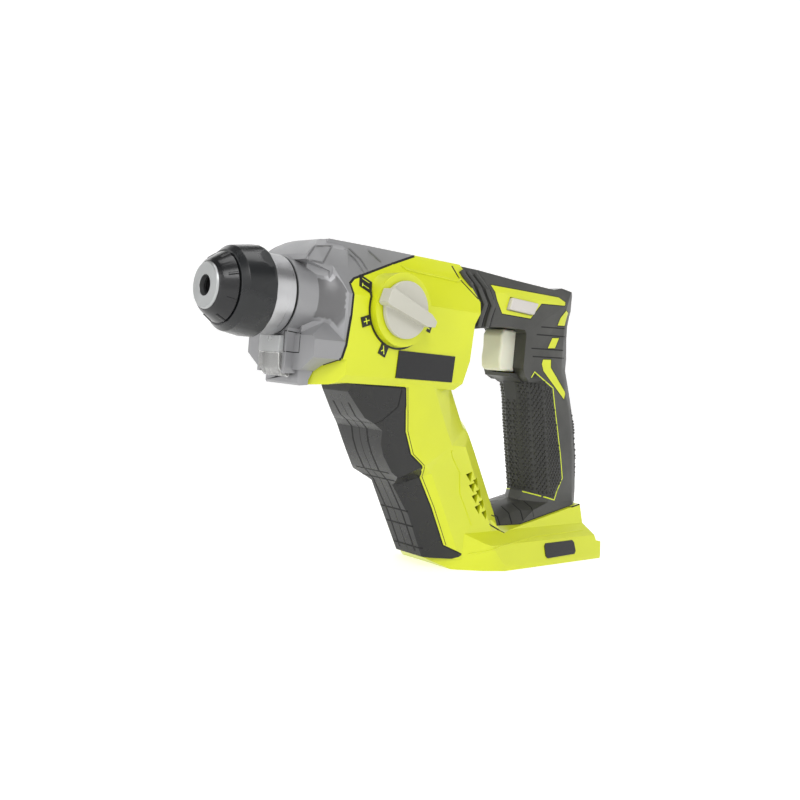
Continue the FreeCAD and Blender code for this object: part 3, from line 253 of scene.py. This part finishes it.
NODE_MATERIALS = {
    "lime": ["left_housing", "right_housing"],
    "case": ["gear_case"],
    "overmold": ["grip_overmold_left", "grip_overmold_right", "handle_boot"],
    "pad": ["grip_pad_left", "grip_pad_right", "rear_grip_pad"],
    "black": ["motor_cover_left", "motor_cover_right", "front_cover", "switch_body",
              "terminal_block", "motor_fan"],
    "sleeve": ["chuck_sleeve"],
    "cap": ["nose_cap", "shaft_seal", "striker_ring"],
    "seam": ["collar_seal"],
    "silver": ["front_collar", "bearing_plate", "rear_support"],
    "nose": ["nose_ring"],
    "steel": ["tool_spindle", "beat_piece", "striker", "piston", "intermediate_shaft",
              "intermediate_pinion", "spindle_gear", "bevel_gear", "clutch_sleeve",
              "wobble_sleeve", "wobble_ring", "motor_pinion", "lock_ring",
              "locking_balls", "spindle_bearings", "intermediate_bearings",
              "motor_bearings", "sleeve_spring", "trigger_spring", "motor_shaft"],
    "zinc": ["housing_screws", "shift_plate"],
    "iron": ["armature", "motor_can"],
    "copper": ["motor_brushes"],
    "brass": ["terminal_blades"],
    "dial": ["mode_dial"],
    "cream": ["trigger"],
    "selector": ["direction_selector"],
    "label": ["side_labels", "foot_badges"],
    "mark": ["dial_marks"],
    "clear": ["led_lens"],
    "frost": ["led_window"],
}
MATERIAL_OF = {node: key for key, nodes in NODE_MATERIALS.items() for node in nodes}


def paint(obj, key):
    obj.data.materials.clear()
    obj.data.materials.append(MATERIALS[key].material)


for node_name, node_object in NODES.items():
    paint(node_object, MATERIAL_OF[node_name])

# ------------------------------------------------------------- mesh helpers


def add_object(name, vertices, faces):
    data = bpy.data.meshes.new(name)
    data.from_pydata([tuple(v) for v in vertices], [], faces)
    data.update()
    obj = bpy.data.objects.new(name, data)
    bpy.context.scene.collection.objects.link(obj)
    return obj


def shade(obj, angle=35.0):
    for polygon in obj.data.polygons:
        polygon.use_smooth = True
    obj.data.set_sharp_from_angle(angle=math.radians(angle))


def placed(obj, material, body, angle=35.0):
    paint(obj, material)
    shade(obj, angle)
    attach(obj, body)
    return obj


def bake_modifiers(obj):
    graph = bpy.context.evaluated_depsgraph_get()
    result = bpy.data.meshes.new_from_object(obj.evaluated_get(graph))
    obj.modifiers.clear()
    obj.data = result


def tidy_mesh(data, weld=1e-6, flat=0.6):
    """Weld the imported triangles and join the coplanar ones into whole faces."""
    work = bmesh.new()
    work.from_mesh(data)
    bmesh.ops.remove_doubles(work, verts=work.verts, dist=weld)
    bmesh.ops.dissolve_limit(work, angle_limit=math.radians(flat), verts=work.verts,
                             edges=work.edges, use_dissolve_boundaries=False)
    work.to_mesh(data)
    work.free()


NORMAL_WEIGHT = 90              # how far large faces lead the normals of rounded pieces


def softened(node, width_mm, segments=3, angle=28.0, smooth_angle=40.0):
    """The CAD piece again with its edges rounded; it stands in for the sharp one."""
    source = NODES[node]
    data = source.data.copy()
    obj = bpy.data.objects.new("soft_" + node, data)
    bpy.context.scene.collection.objects.link(obj)
    for name in ("custom_normal", "sharp_edge", "sharp_face"):
        if name in data.attributes:
            data.attributes.remove(data.attributes[name])
    tidy_mesh(data)
    bevel = obj.modifiers.new("round_edges", "BEVEL")
    bevel.width = width_mm * MM
    bevel.segments = segments
    bevel.limit_method = "ANGLE"
    bevel.angle_limit = math.radians(angle)
    bevel.use_clamp_overlap = True
    bevel.miter_outer = "MITER_ARC"
    bake_modifiers(obj)
    placed(obj, MATERIAL_OF[node], source["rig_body"], smooth_angle)
    weighting = obj.modifiers.new("even_normals", "WEIGHTED_NORMAL")
    weighting.keep_sharp = True
    weighting.weight = NORMAL_WEIGHT
    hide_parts(node)
    return obj


SLOT_OF = {row["node"]: row["material_slot"] for row in frame["record"]["subparts"]}


def surface(*nodes):
    """Search tree of the outer faces of some nodes."""
    vertices, polygons = [], []
    for node in nodes:
        start = len(vertices)
        data = NODES[node].data
        vertices += [v.co.copy() for v in data.vertices]
        polygons += [[start + i for i in p.vertices] for p in data.polygons]
    return BVHTree.FromPolygons(vertices, polygons)


def resampled(points, step, closed=False):
    """Points along a polyline, about one step apart, corners kept."""
    result = []
    count = len(points)
    for i in range(count if closed else count - 1):
        a, b = Vector(points[i]), Vector(points[(i + 1) % count])
        pieces = max(1, round((b - a).length / step))
        result += [a.lerp(b, k / pieces) for k in range(pieces)]
    if not closed:
        result.append(Vector(points[-1]))
    return result


CAST_REACH = 0.2                # rays start this far outside the path, in metres
LARGEST_JUMP = 0.004            # a longer step between two hits ends a run, in metres


def runs_on(tree, points, away, closed=False):
    """Drop points onto a surface along -away; returns runs of (place, normal)."""
    runs, current = [], []
    for point in points:
        place, normal, _, _ = tree.ray_cast(point + away * CAST_REACH, -away)
        if place is None or (current and (place - current[-1][0]).length > LARGEST_JUMP):
            if len(current) > 2:
                runs.append(current)
            current = []
        if place is not None:
            current.append((place, normal if normal.dot(away) > 0 else -normal))
    if len(current) > 2:
        runs.append(current)
    if closed and len(runs) == 1 and len(runs[0]) == len(points):
        runs[0].append(runs[0][0])
    return runs


def swept(name, runs, profile):
    """Sweep a closed (across, up) profile in mm along each run."""
    vertices, faces = [], []
    sides = len(profile)
    for run in runs:
        start = len(vertices)
        for i, (place, normal) in enumerate(run):
            before, after = run[max(i - 1, 0)][0], run[min(i + 1, len(run) - 1)][0]
            along = (after - before).normalized()
            across = along.cross(normal).normalized()
            up = across.cross(along).normalized()
            for a, b in profile:
                vertices.append(place + across * a * MM + up * b * MM)
        for i in range(len(run) - 1):
            for k in range(sides):
                a = start + i * sides + k
                b = start + i * sides + (k + 1) % sides
                faces.append((a, b, b + sides, a + sides))
        faces.append(tuple(start + k for k in reversed(range(sides))))
        last = start + (len(run) - 1) * sides
        faces.append(tuple(last + k for k in range(sides)))
    obj = add_object(name, vertices, faces)
    work = bmesh.new()
    work.from_mesh(obj.data)
    bmesh.ops.recalc_face_normals(work, faces=work.faces)
    work.to_mesh(obj.data)
    work.free()
    return obj


def line_profile(width, height=0.12, sink=0.35):
    """Low rounded bead, used for seams and outlines."""
    half = width / 2
    return [(-half, -sink), (half, -sink), (half, 0.0), (half * 0.6, height * 0.8),
            (0.0, height), (-half * 0.6, height * 0.8), (-half, 0.0)]


def rib_profile(width, height, sink=0.5, round_off=0.35):
    half = width / 2
    return [(-half, -sink), (half, -sink), (half, height - round_off),
            (half - round_off * 0.35, height - round_off * 0.3),
            (half - round_off, height), (-half + round_off, height),
            (-half + round_off * 0.35, height - round_off * 0.3),
            (-half, height - round_off)]


def side_line(name, tree, outline, side, profile, material, body="housing", closed=False,
              slot=None, step=0.7):
    """A bead laid on one side of the tool along an outline of (x, z) in mm."""
    points = [Vector((x * MM, 0.0, z * MM)) for x, z in outline]
    dense = resampled(points, step * MM, closed)
    runs = runs_on(tree, dense, Vector((0.0, side, 0.0)), closed)
    if not runs:
        return None
    return placed(swept(name, runs, profile), material, body)


def both_sides(name, tree, outline, profile, material, **options):
    for tag, side in SIDES.items():
        side_line(name + "_" + tag, tree, outline, side, profile, material, **options)


def ray_line(name, tree, points, away, profile, material, body="housing", slot=None,
             step=0.7):
    """A bead laid along a 3-D path in mm, dropped along -away."""
    dense = resampled([Vector(p) * MM for p in points], step * MM)
    runs = runs_on(tree, dense, Vector(away).normalized())
    if not runs:
        return None
    return placed(swept(name, runs, profile), material, body)


FRONT_QUARTER = (-0.68, -0.73, 0.05)


def oblique(name, tree, points, profile, material, away=FRONT_QUARTER, **options):
    """A bead dropped on the left side from the front quarter, and its mirror image."""
    for tag, side in SIDES.items():
        flip = -side
        path = [(x, y * flip, z) for x, y, z in points]
        ray_line(name + "_" + tag, tree, path, (away[0], away[1] * flip, away[2]), profile,
                 material, **options)


# --------------------------------------------------------- rounded CAD pieces
SOFT = {
    "left_housing": 0.5, "right_housing": 0.5, "gear_case": 0.45,
    "grip_overmold_left": 0.45, "grip_overmold_right": 0.45, "grip_pad_left": 0.45,
    "grip_pad_right": 0.45, "rear_grip_pad": 0.4, "handle_boot": 0.5,
    "motor_cover_left": 0.5, "motor_cover_right": 0.5, "front_cover": 0.5,
    "chuck_sleeve": 0.8, "nose_cap": 0.5, "nose_ring": 0.3, "front_collar": 0.3,
    "mode_dial": 1.7, "trigger": 1.6, "direction_selector": 0.9,
    "led_window": 0.5, "led_lens": 0.8,
}
for node_name, width in SOFT.items():
    softened(node_name, width)

BODY = surface("left_housing", "right_housing", "gear_case")
GRIP = surface("left_housing", "right_housing", "grip_overmold_left",
               "grip_overmold_right", "grip_pad_left", "grip_pad_right", "rear_grip_pad",
               "handle_boot")
CASE = surface("gear_case")
BOOT = surface("handle_boot", "left_housing", "right_housing")
COLUMN = surface("left_housing", "right_housing", "motor_cover_left",
                 "motor_cover_right", "front_cover")
COVER = surface("motor_cover_left", "motor_cover_right", "front_cover")

# ---------------------------------------------------------------- seam lines: near-black beads of painted shade in the gaps
SEAM = line_profile(0.9, 0.08)
FINE_SEAM = line_profile(0.55, 0.08)
LIME_BEAD = line_profile(0.8, 0.22)

CASE_SEAM = [(53.3, -43.0), (53.4, -40.8), (55.0, -36.8), (55.9, -33.0), (63.1, -28.9),
             (65.3, -22.1), (66.9, -7.0), (67.3, 9.1), (71.2, 12.0), (121.4, 31.0)]
CASE_SEAM_LINE = line_profile(1.3, 0.1)
both_sides("case_seam", BODY, CASE_SEAM, CASE_SEAM_LINE, "seam")
ray_line("case_seam_top", BODY, [(121.7, -12.0, 31.5), (121.7, 12.0, 31.5)], (0, 0, 1),
         CASE_SEAM_LINE, "seam")

COVER_SEAM = [(109.8, -41.4), (111.3, -53.5), (114.0, -65.2), (120.0, -77.7),
              (127.6, -83.8), (143.4, -108.9), (156.0, -131.3), (168.0, -136.6)]
both_sides("cover_seam", COLUMN, COVER_SEAM, line_profile(0.9, 0.12), "seam")
COVER_PINSTRIPE = [(x + 1.5, z + 0.3) for x, z in COVER_SEAM[:-1]]
both_sides("cover_pinstripe", COLUMN, COVER_PINSTRIPE, line_profile(0.4, 0.06), "seam")
both_sides("body_under_seam", COLUMN, [(84.5, -41.6), (109.5, -41.6)],
           line_profile(0.9, 0.1), "seam")
both_sides("cover_split", COLUMN, [(107.0, -42.0), (107.0, -52.0), (98.5, -62.2)],
           line_profile(0.8, 0.1), "seam")

BOOT_SEAM = [(151.0, 29.8), (156.7, 21.1), (166.7, 10.2), (164.2, 3.0), (161.4, -5.0)]
both_sides("boot_seam", GRIP, BOOT_SEAM, line_profile(1.1, 0.12), "seam")
FOOT_SEAM = [(190.6, -120.0), (203.0, -125.8), (238.0, -119.8), (274.5, -113.8),
             (296.0, -110.2)]
both_sides("foot_seam", GRIP, FOOT_SEAM, SEAM, "seam")

# --------------------------------------------------------------- grip inlays
INLAYS = {
    "wedge": [(183.0, 23.2), (187.6, 14.3), (193.3, 6.6), (220.7, 6.3), (230.2, 16.7),
              (253.9, 18.0), (255.8, 20.8), (249.9, 23.4)],
    "stripe_top": [(256.0, 15.6), (263.5, 14.6), (258.0, 9.0), (255.6, 5.0),
                   (248.0, 4.6), (250.5, 10.0)],
    "stripe_mid": [(244.0, -3.4), (251.5, -2.8), (248.0, -10.2), (240.0, -10.8)],
    "stripe_low": [(236.5, -17.8), (245.0, -17.3), (245.6, -22.5), (263.6, -38.2),
                   (262.4, -43.0), (238.0, -25.5), (235.6, -21.0)],
}
for key, outline in INLAYS.items():
    both_sides("inlay_seam_" + key, GRIP, outline, FINE_SEAM, "seam", closed=True)

PAD_OUTLINE = [(226.6, -30.2), (229.4, -26.4), (249.5, -35.7), (256.0, -56.4),
               (263.8, -79.5), (268.2, -95.0), (260.5, -109.2), (241.0, -104.6)]
both_sides("pad_outline", GRIP, PAD_OUTLINE, LIME_BEAD, "lime_line", slot="lime")
# the same outline carried round the front of the grip, dropped on it from ahead
AHEAD = (-1.0, 0.0, 0.0)
START_X = 200.0
PAD_ENDS = {"top": (-31.2, -34.0, -35.8), "low": (-104.4, -103.9, -103.4)}
for end, (side_z, bend_z, middle_z) in PAD_ENDS.items():
    path = [(START_X, -15.4, side_z), (START_X, -10.0, bend_z), (START_X, 0.0, middle_z),
            (START_X, 10.0, bend_z), (START_X, 15.4, side_z)]
    ray_line("pad_outline_" + end, GRIP, path, AHEAD, LIME_BEAD, "lime_line", slot="lime")
# the grip's parting line is also a near-black bead of painted shade
ray_line("grip_parting", GRIP, [(START_X, 0.0, -37.0), (START_X, 0.0, -103.0)], AHEAD,
         line_profile(0.7, 0.1), "seam")
# near-black lines in the creases at the grip's base: painted shade
WRINKLES = [[(213.5, -2.0, -117.0), (215.5, -9.0, -119.8), (211.8, -15.0, -124.0)],
            [(224.7, -3.6, -114.3), (223.4, -11.3, -117.3), (219.0, -18.2, -122.6)],
            [(232.6, -6.1, -112.6), (230.3, -15.1, -115.5), (226.0, -21.5, -120.8)],
            [(241.1, -8.3, -110.9), (238.6, -16.9, -113.4), (236.8, -21.0, -118.8)]]
for i, wrinkle in enumerate(WRINKLES):
    oblique("base_wrinkle_%d" % i, GRIP, wrinkle, line_profile(0.8, 0.06), "seam")
BACK_PAD_OUTLINE = [(283.0, -47.0), (275.5, -50.5), (288.4, -94.0), (292.6, -99.0)]
both_sides("back_pad_seam", GRIP, BACK_PAD_OUTLINE, SEAM, "seam")

# grooves across the rear of the grip, above the pad, drawn as near-black beads of painted
# shade
REAR_GROOVES = {3.0: (232.0, 257.0), -2.2: (228.0, 259.0), -11.2: (224.0, 258.0),
                -16.2: (226.0, 262.0)}
for level, (x0, x1) in REAR_GROOVES.items():
    both_sides("rear_groove_%d" % round(level + 20), GRIP,
               [(x0, level - 0.6), ((x0 + x1) / 2, level), (x1, level + 0.6)],
               line_profile(0.8, 0.06), "seam")

# ------------------------------------------------------------ chevron boot ribs
CHEVRONS, CHEVRON_PITCH, CHEVRON_GAP = 3, 6.8, 3.3
for i in range(CHEVRONS):
    shift = CHEVRON_PITCH * i
    chevron = [(157.6 + shift, 27.8), (163.0 + shift, 20.0), (170.2 + shift, 10.6),
               (167.4 + shift, 3.0), (166.0 + shift, -3.2)]
    both_sides("boot_rib_%d" % i, BOOT, chevron, rib_profile(3.4, 1.5), "overmold",
               slot="overmold")
    # near-black bead in the gap behind each rib: painted shade
    gap = [(x + CHEVRON_GAP, z) for x, z in chevron]
    both_sides("boot_gap_%d" % i, BOOT, gap, line_profile(1.5, 0.12), "seam")

# -------------------------------------------------------------- gear case detail
WINDOW = [(49.3, -17.7, 25.1), (61.5, -15.9, 27.0), (53.7, -19.6, 17.4), (47.0, -15.4, 17.4),
          (49.3, -17.7, 25.1)]
oblique("case_window_rim", CASE, WINDOW, rib_profile(0.9, 0.55), "case", slot="grey_case")
CASE_RIBS = {
    "a": [(68.6, -17.0, 26.9), (76.6, -16.2, 22.3), (79.6, -20.1, 15.8)],
    "b": [(72.4, -15.0, 28.2), (80.4, -15.6, 23.2), (83.6, -18.8, 17.4)],
    "c": [(87.0, -13.1, 29.1), (95.4, -15.2, 23.7)],
}
for name, rib in CASE_RIBS.items():
    oblique("case_rib_" + name, CASE, rib, rib_profile(1.0, 0.6), "case", slot="grey_case")
PANEL = [(40.6, -10.0, -17.6), (45.3, -17.0, -18.0), (45.3, -17.0, -27.8),
         (41.2, -10.0, -27.9), (40.6, -10.0, -17.6)]
# near-black line round the panel edge: painted shade
oblique("case_panel_edge", CASE, PANEL, line_profile(0.5, 0.05), "seam")

# plain pictograms on the dial tabs: strokes of (distance from the dial centre, across)
ICONS = {152.0: [[(21.6, -1.9), (25.8, -1.9)], [(21.6, 1.7), (25.4, 1.7)],
                 [(25.4, 0.8), (25.4, 2.8)]],
         200.0: [[(21.4, 0.0), (25.2, 0.0)], [(23.3, -1.6), (23.3, 1.6)]],
         248.0: [[(21.4, -1.2), (25.2, 1.2)], [(24.6, -1.4), (23.4, -0.2)]],
         341.0: [[(21.4, 0.0), (24.2, 0.0)]]}
DIAL_X, DIAL_Z = 98.5, -1.0
MARKS = surface("dial_marks")
for angle, strokes in ICONS.items():
    cos_a, sin_a = math.cos(math.radians(angle)), math.sin(math.radians(angle))
    for i, stroke in enumerate(strokes):
        path = [(DIAL_X + u * cos_a - v * sin_a, DIAL_Z + u * sin_a + v * cos_a)
                for u, v in stroke]
        side_line("dial_icon_%d_%d" % (angle, i), MARKS, path, LEFT,
                  line_profile(0.55, 0.1), "lime_line", slot="lime", step=0.3)

# shallow ribs down the rubber cap at the nose
CAP = surface("nose_cap")
CAP_BODY = NODES["nose_cap"]["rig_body"]
CAP_RIBS, CAP_RIB_R = 8, 14.0
for i in range(CAP_RIBS):
    around = 2.0 * math.pi * (i + 0.5) / CAP_RIBS
    cos_a, sin_a = math.cos(around), math.sin(around)
    path = [(x, CAP_RIB_R * cos_a, CAP_RIB_R * sin_a) for x in (4.5, 8.0, 12.5)]
    ray_line("cap_rib_%d" % i, CAP, path, (-0.35, cos_a, sin_a), rib_profile(1.5, 0.45, 0.4),
             "cap", body=CAP_BODY, slot=SLOT_OF["nose_cap"])

# -------------------------------------------------------------- lime body detail
both_sides("top_ridge", BODY, [(109.9, 23.8), (112.9, 22.4), (152.2, 21.0), (155.5, 22.6)],
           rib_profile(1.3, 0.7), "lime", slot="lime")
VENT_EDGE = [(150.5, -75.5), (160.7, -88.3), (162.2, -100.0), (174.5, -119.5)]
both_sides("vent_panel_edge", COLUMN, VENT_EDGE, rib_profile(0.9, 0.5), "lime",
           slot="lime")
both_sides("foot_crease", surface("left_housing", "right_housing"),
           [(172.0, -136.2), (191.1, -131.6), (226.7, -128.7), (278.9, -128.1)],
           rib_profile(0.8, 0.4), "lime", slot="lime")

# ------------------------------------------------------------- motor cover detail
# the lines and grooves on the motor cover are near-black beads of painted shade
FRONT_AWAY = (-1.0, 0.0, -0.35)
COVER_PATH = [(88.0, -52.0), (98.5, -62.2), (104.4, -72.8), (113.8, -88.6),
              (122.0, -95.6), (132.0, -114.4), (145.0, -137.6)]
COVER_LINES = {0.0: 0.5, -6.5: 1.4, 6.5: 1.4}       # offset from the middle: width
for offset, width in COVER_LINES.items():
    ray_line("cover_line_%d" % round(offset + 10), COVER,
             [(x, offset, z) for x, z in COVER_PATH], FRONT_AWAY,
             line_profile(width, 0.06), "seam")
COVER_GROOVES = [(-89.5, 14.0), (-94.0, 14.0), (-112.0, 12.0), (-121.0, 12.0),
                 (-134.0, 13.0)]                     # height, half length
for i, (level, reach) in enumerate(COVER_GROOVES):
    ray_line("cover_groove_%d" % i, COVER, [(125.0, -reach, level), (125.0, reach, level)],
             (-1.0, 0.0, 0.0), line_profile(1.3, 0.08), "seam")

# ------------------------------------------------------------- grip texture


PITCH, BUMP_R, BUMP_HEIGHT = 2.7 * MM, 1.0 * MM, 0.7 * MM
ROW_PITCH = PITCH * 0.72
BUMP_CORNERS, BUMP_SQUEEZE = 6, 0.85
BUMP_RINGS = ((1.0, -0.1), (0.62, 0.85))        # share of the radius, share of the height
GRIP_LEAN = 0.012               # how much further back the grip's foot is than its top
WALK_STEPS, WALK_REACH = 500, 0.08
INNER_LIMIT = 0.004             # hits nearer the middle than this are inside the grip
SEAM_GAP, EDGE_GAP, EDGE_MISS = 1.1 * MM, 1.5 * MM, 0.45 * MM
UPWARD = Vector((0, 0, 1))


def clear_of_edges(tree, place, normal):
    """Whether the pad reaches far enough on all four sides of a place."""
    tangent = normal.cross(UPWARD).normalized()
    for probe in (tangent, -tangent, UPWARD, -UPWARD):
        found, _, _, gap = tree.find_nearest(place + probe * EDGE_GAP)
        if found is None or gap > EDGE_MISS:
            return False
    return True


def add_bump(vertices, faces, place, normal):
    """One low dome with flat sides, standing on the pad."""
    start, count = len(vertices), BUMP_CORNERS
    up = (UPWARD - normal * UPWARD.dot(normal)).normalized()
    right = up.cross(normal).normalized()
    for share, lift in BUMP_RINGS:
        for j in range(count):
            around = 2.0 * math.pi * j / count
            spoke = right * math.cos(around) * BUMP_SQUEEZE + up * math.sin(around)
            vertices.append(place + spoke * BUMP_R * share + normal * BUMP_HEIGHT * lift)
    vertices.append(place + normal * BUMP_HEIGHT)
    for j in range(count):
        a, b = start + j, start + (j + 1) % count
        faces.append((a, b, b + count, a + count))
        faces.append((a + count, b + count, start + 2 * count))
    faces.append(tuple(start + j for j in reversed(range(count))))


def grip_dimples(name, nodes, side, low_z, high_z):
    """Staggered six-sided bumps over the rubber pads, laid by walking round the grip."""
    tree = surface(*nodes)
    vertices, faces = [], []
    low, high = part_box(nodes[0])
    for row in range(int((high.z - low.z) / ROW_PITCH)):
        z = low.z + (row + 0.5) * ROW_PITCH
        if not low_z * MM < z < high_z * MM:
            continue
        share = (z - low.z) / (high.z - low.z)
        centre = Vector((0.5 * (low.x + high.x) + (0.5 - share) * GRIP_LEAN, 0.0, z))
        walked = PITCH * 0.5 * (row % 2)
        last = None
        for k in range(WALK_STEPS):
            angle = math.pi * (k + 0.5) / WALK_STEPS
            out = Vector((-math.cos(angle), side * math.sin(angle), 0.0))
            place, normal, _, _ = tree.ray_cast(centre + out * WALK_REACH, -out)
            if place is None or (place - centre).dot(out) < INNER_LIMIT:
                last = None
                continue
            if last is not None:
                walked += (place - last).length
            last = place
            if walked < PITCH or abs(place.y) < SEAM_GAP:
                continue
            walked = 0.0
            if normal.dot(out) < 0:
                normal = -normal
            if clear_of_edges(tree, place, normal):
                add_bump(vertices, faces, place, normal)
    if vertices:
        placed(add_object(name, vertices, faces), "pad", "housing", 50.0)


grip_dimples("dimples_left", ["grip_pad_left"], LEFT, -108.5, -28.0)
grip_dimples("dimples_right", ["grip_pad_right"], RIGHT, -108.5, -28.0)
for tag, side in SIDES.items():
    grip_dimples("dimples_rear_" + tag, ["rear_grip_pad"], side, -97.0, -47.0)

# ----------------------------------------------------------------- the floor
FLOOR_Z = CAD_BOX[0][2]


FLOOR_X = 0.15                  # the middle of the floor, below the tool
FLOOR_SEGMENTS = 96


def studio():
    """Pale floor with a glow of its own, curved up into a round wall to hide the horizon."""
    profile = [(0.0, 0.0), (1.6, 0.0), (2.3, 0.05), (2.9, 0.3), (3.3, 0.8), (3.4, 1.5),
               (3.4, 2.6)]
    count = FLOOR_SEGMENTS
    vertices, faces = [Vector((FLOOR_X, 0.0, FLOOR_Z))], []
    for radius, height in profile[1:]:
        for k in range(count):
            angle = 2 * math.pi * k / count
            vertices.append(Vector((FLOOR_X + radius * math.cos(angle),
                                    radius * math.sin(angle), FLOOR_Z + height)))
    for k in range(count):
        faces.append((0, 1 + k, 1 + (k + 1) % count))
    for ring in range(len(profile) - 2):
        a0, b0 = 1 + ring * count, 1 + (ring + 1) * count
        for k in range(count):
            nxt = (k + 1) % count
            faces.append((a0 + k, b0 + k, b0 + nxt, a0 + nxt))
    floor = add_object("studio_floor", vertices, faces)
    shader = Shader("studio_paper", (0.62, 0.62, 0.615), 0.75,
                    Emission_Color=(1.0, 1.0, 1.0, 1.0), Emission_Strength=0.62)
    shader.vary_colour(shader.noise(6.0, 2.0), 0.995, 1.005)
    floor.data.materials.append(shader.material)
    shade(floor, 60.0)


studio()


def area_light(name, place, target, size, power, colour=(1.0, 1.0, 1.0)):
    lamp = bpy.data.lights.new(name, "AREA")
    lamp.shape = "RECTANGLE"
    lamp.size, lamp.size_y = size
    lamp.energy = power
    lamp.color = colour
    obj = bpy.data.objects.new(name, lamp)
    bpy.context.scene.collection.objects.link(obj)
    obj.location = place
    direction = Vector(target) - Vector(place)
    obj.rotation_euler = direction.to_track_quat("-Z", "Y").to_euler()
    return obj


CENTRE = (0.15, 0.0, -0.05)
area_light("key_light", (-0.55, -0.9, 0.95), CENTRE, (0.7, 0.5), 7.0)
area_light("top_light", (0.15, 0.05, 1.15), CENTRE, (1.0, 0.7), 5.5)
area_light("left_strip", (-1.15, -0.15, 0.15), CENTRE, (0.35, 1.1), 2.4)
area_light("rear_strip", (1.1, 0.6, 0.5), CENTRE, (0.5, 1.2), 2.5)
area_light("back_fill", (0.3, 1.3, 0.5), CENTRE, (1.2, 1.0), 2.0)

WORLD_LIGHT = 0.15
world = bpy.data.worlds.new("studio_world")
world.use_nodes = True
sky = world.node_tree.nodes["Background"]
sky.inputs["Color"].default_value = (1.0, 1.0, 1.0, 1.0)
sky.inputs["Strength"].default_value = WORLD_LIGHT
bpy.context.scene.world = world

# ------------------------------------------------------------------- camera
AZIMUTH = math.radians(47.255)
PITCH = math.radians(-2.084)
ROLL = math.radians(4.931)
CAMERA_PLACE = Vector((-0.2152, -0.3751, -0.0309))
LENS_MM, SENSOR_MM, NEAREST = 40.09, 36.0, 0.01

forward = Vector((math.cos(AZIMUTH) * math.cos(PITCH), math.sin(AZIMUTH) * math.cos(PITCH),
                  math.sin(PITCH)))
level_right = forward.cross(Vector((0, 0, 1))).normalized()
level_up = level_right.cross(forward)
right = level_right * math.cos(ROLL) + level_up * math.sin(ROLL)
up = level_up * math.cos(ROLL) - level_right * math.sin(ROLL)
lens = bpy.data.cameras.new("photo_camera")
lens.lens = LENS_MM
lens.sensor_width = SENSOR_MM
lens.clip_start = NEAREST
camera = bpy.data.objects.new("photo_camera", lens)
bpy.context.scene.collection.objects.link(camera)
turn = Matrix((right, up, -forward)).transposed().to_4x4()
camera.matrix_world = Matrix.Translation(CAMERA_PLACE) @ turn
bpy.context.scene.camera = camera

bpy.context.scene.view_settings.view_transform = "Standard"
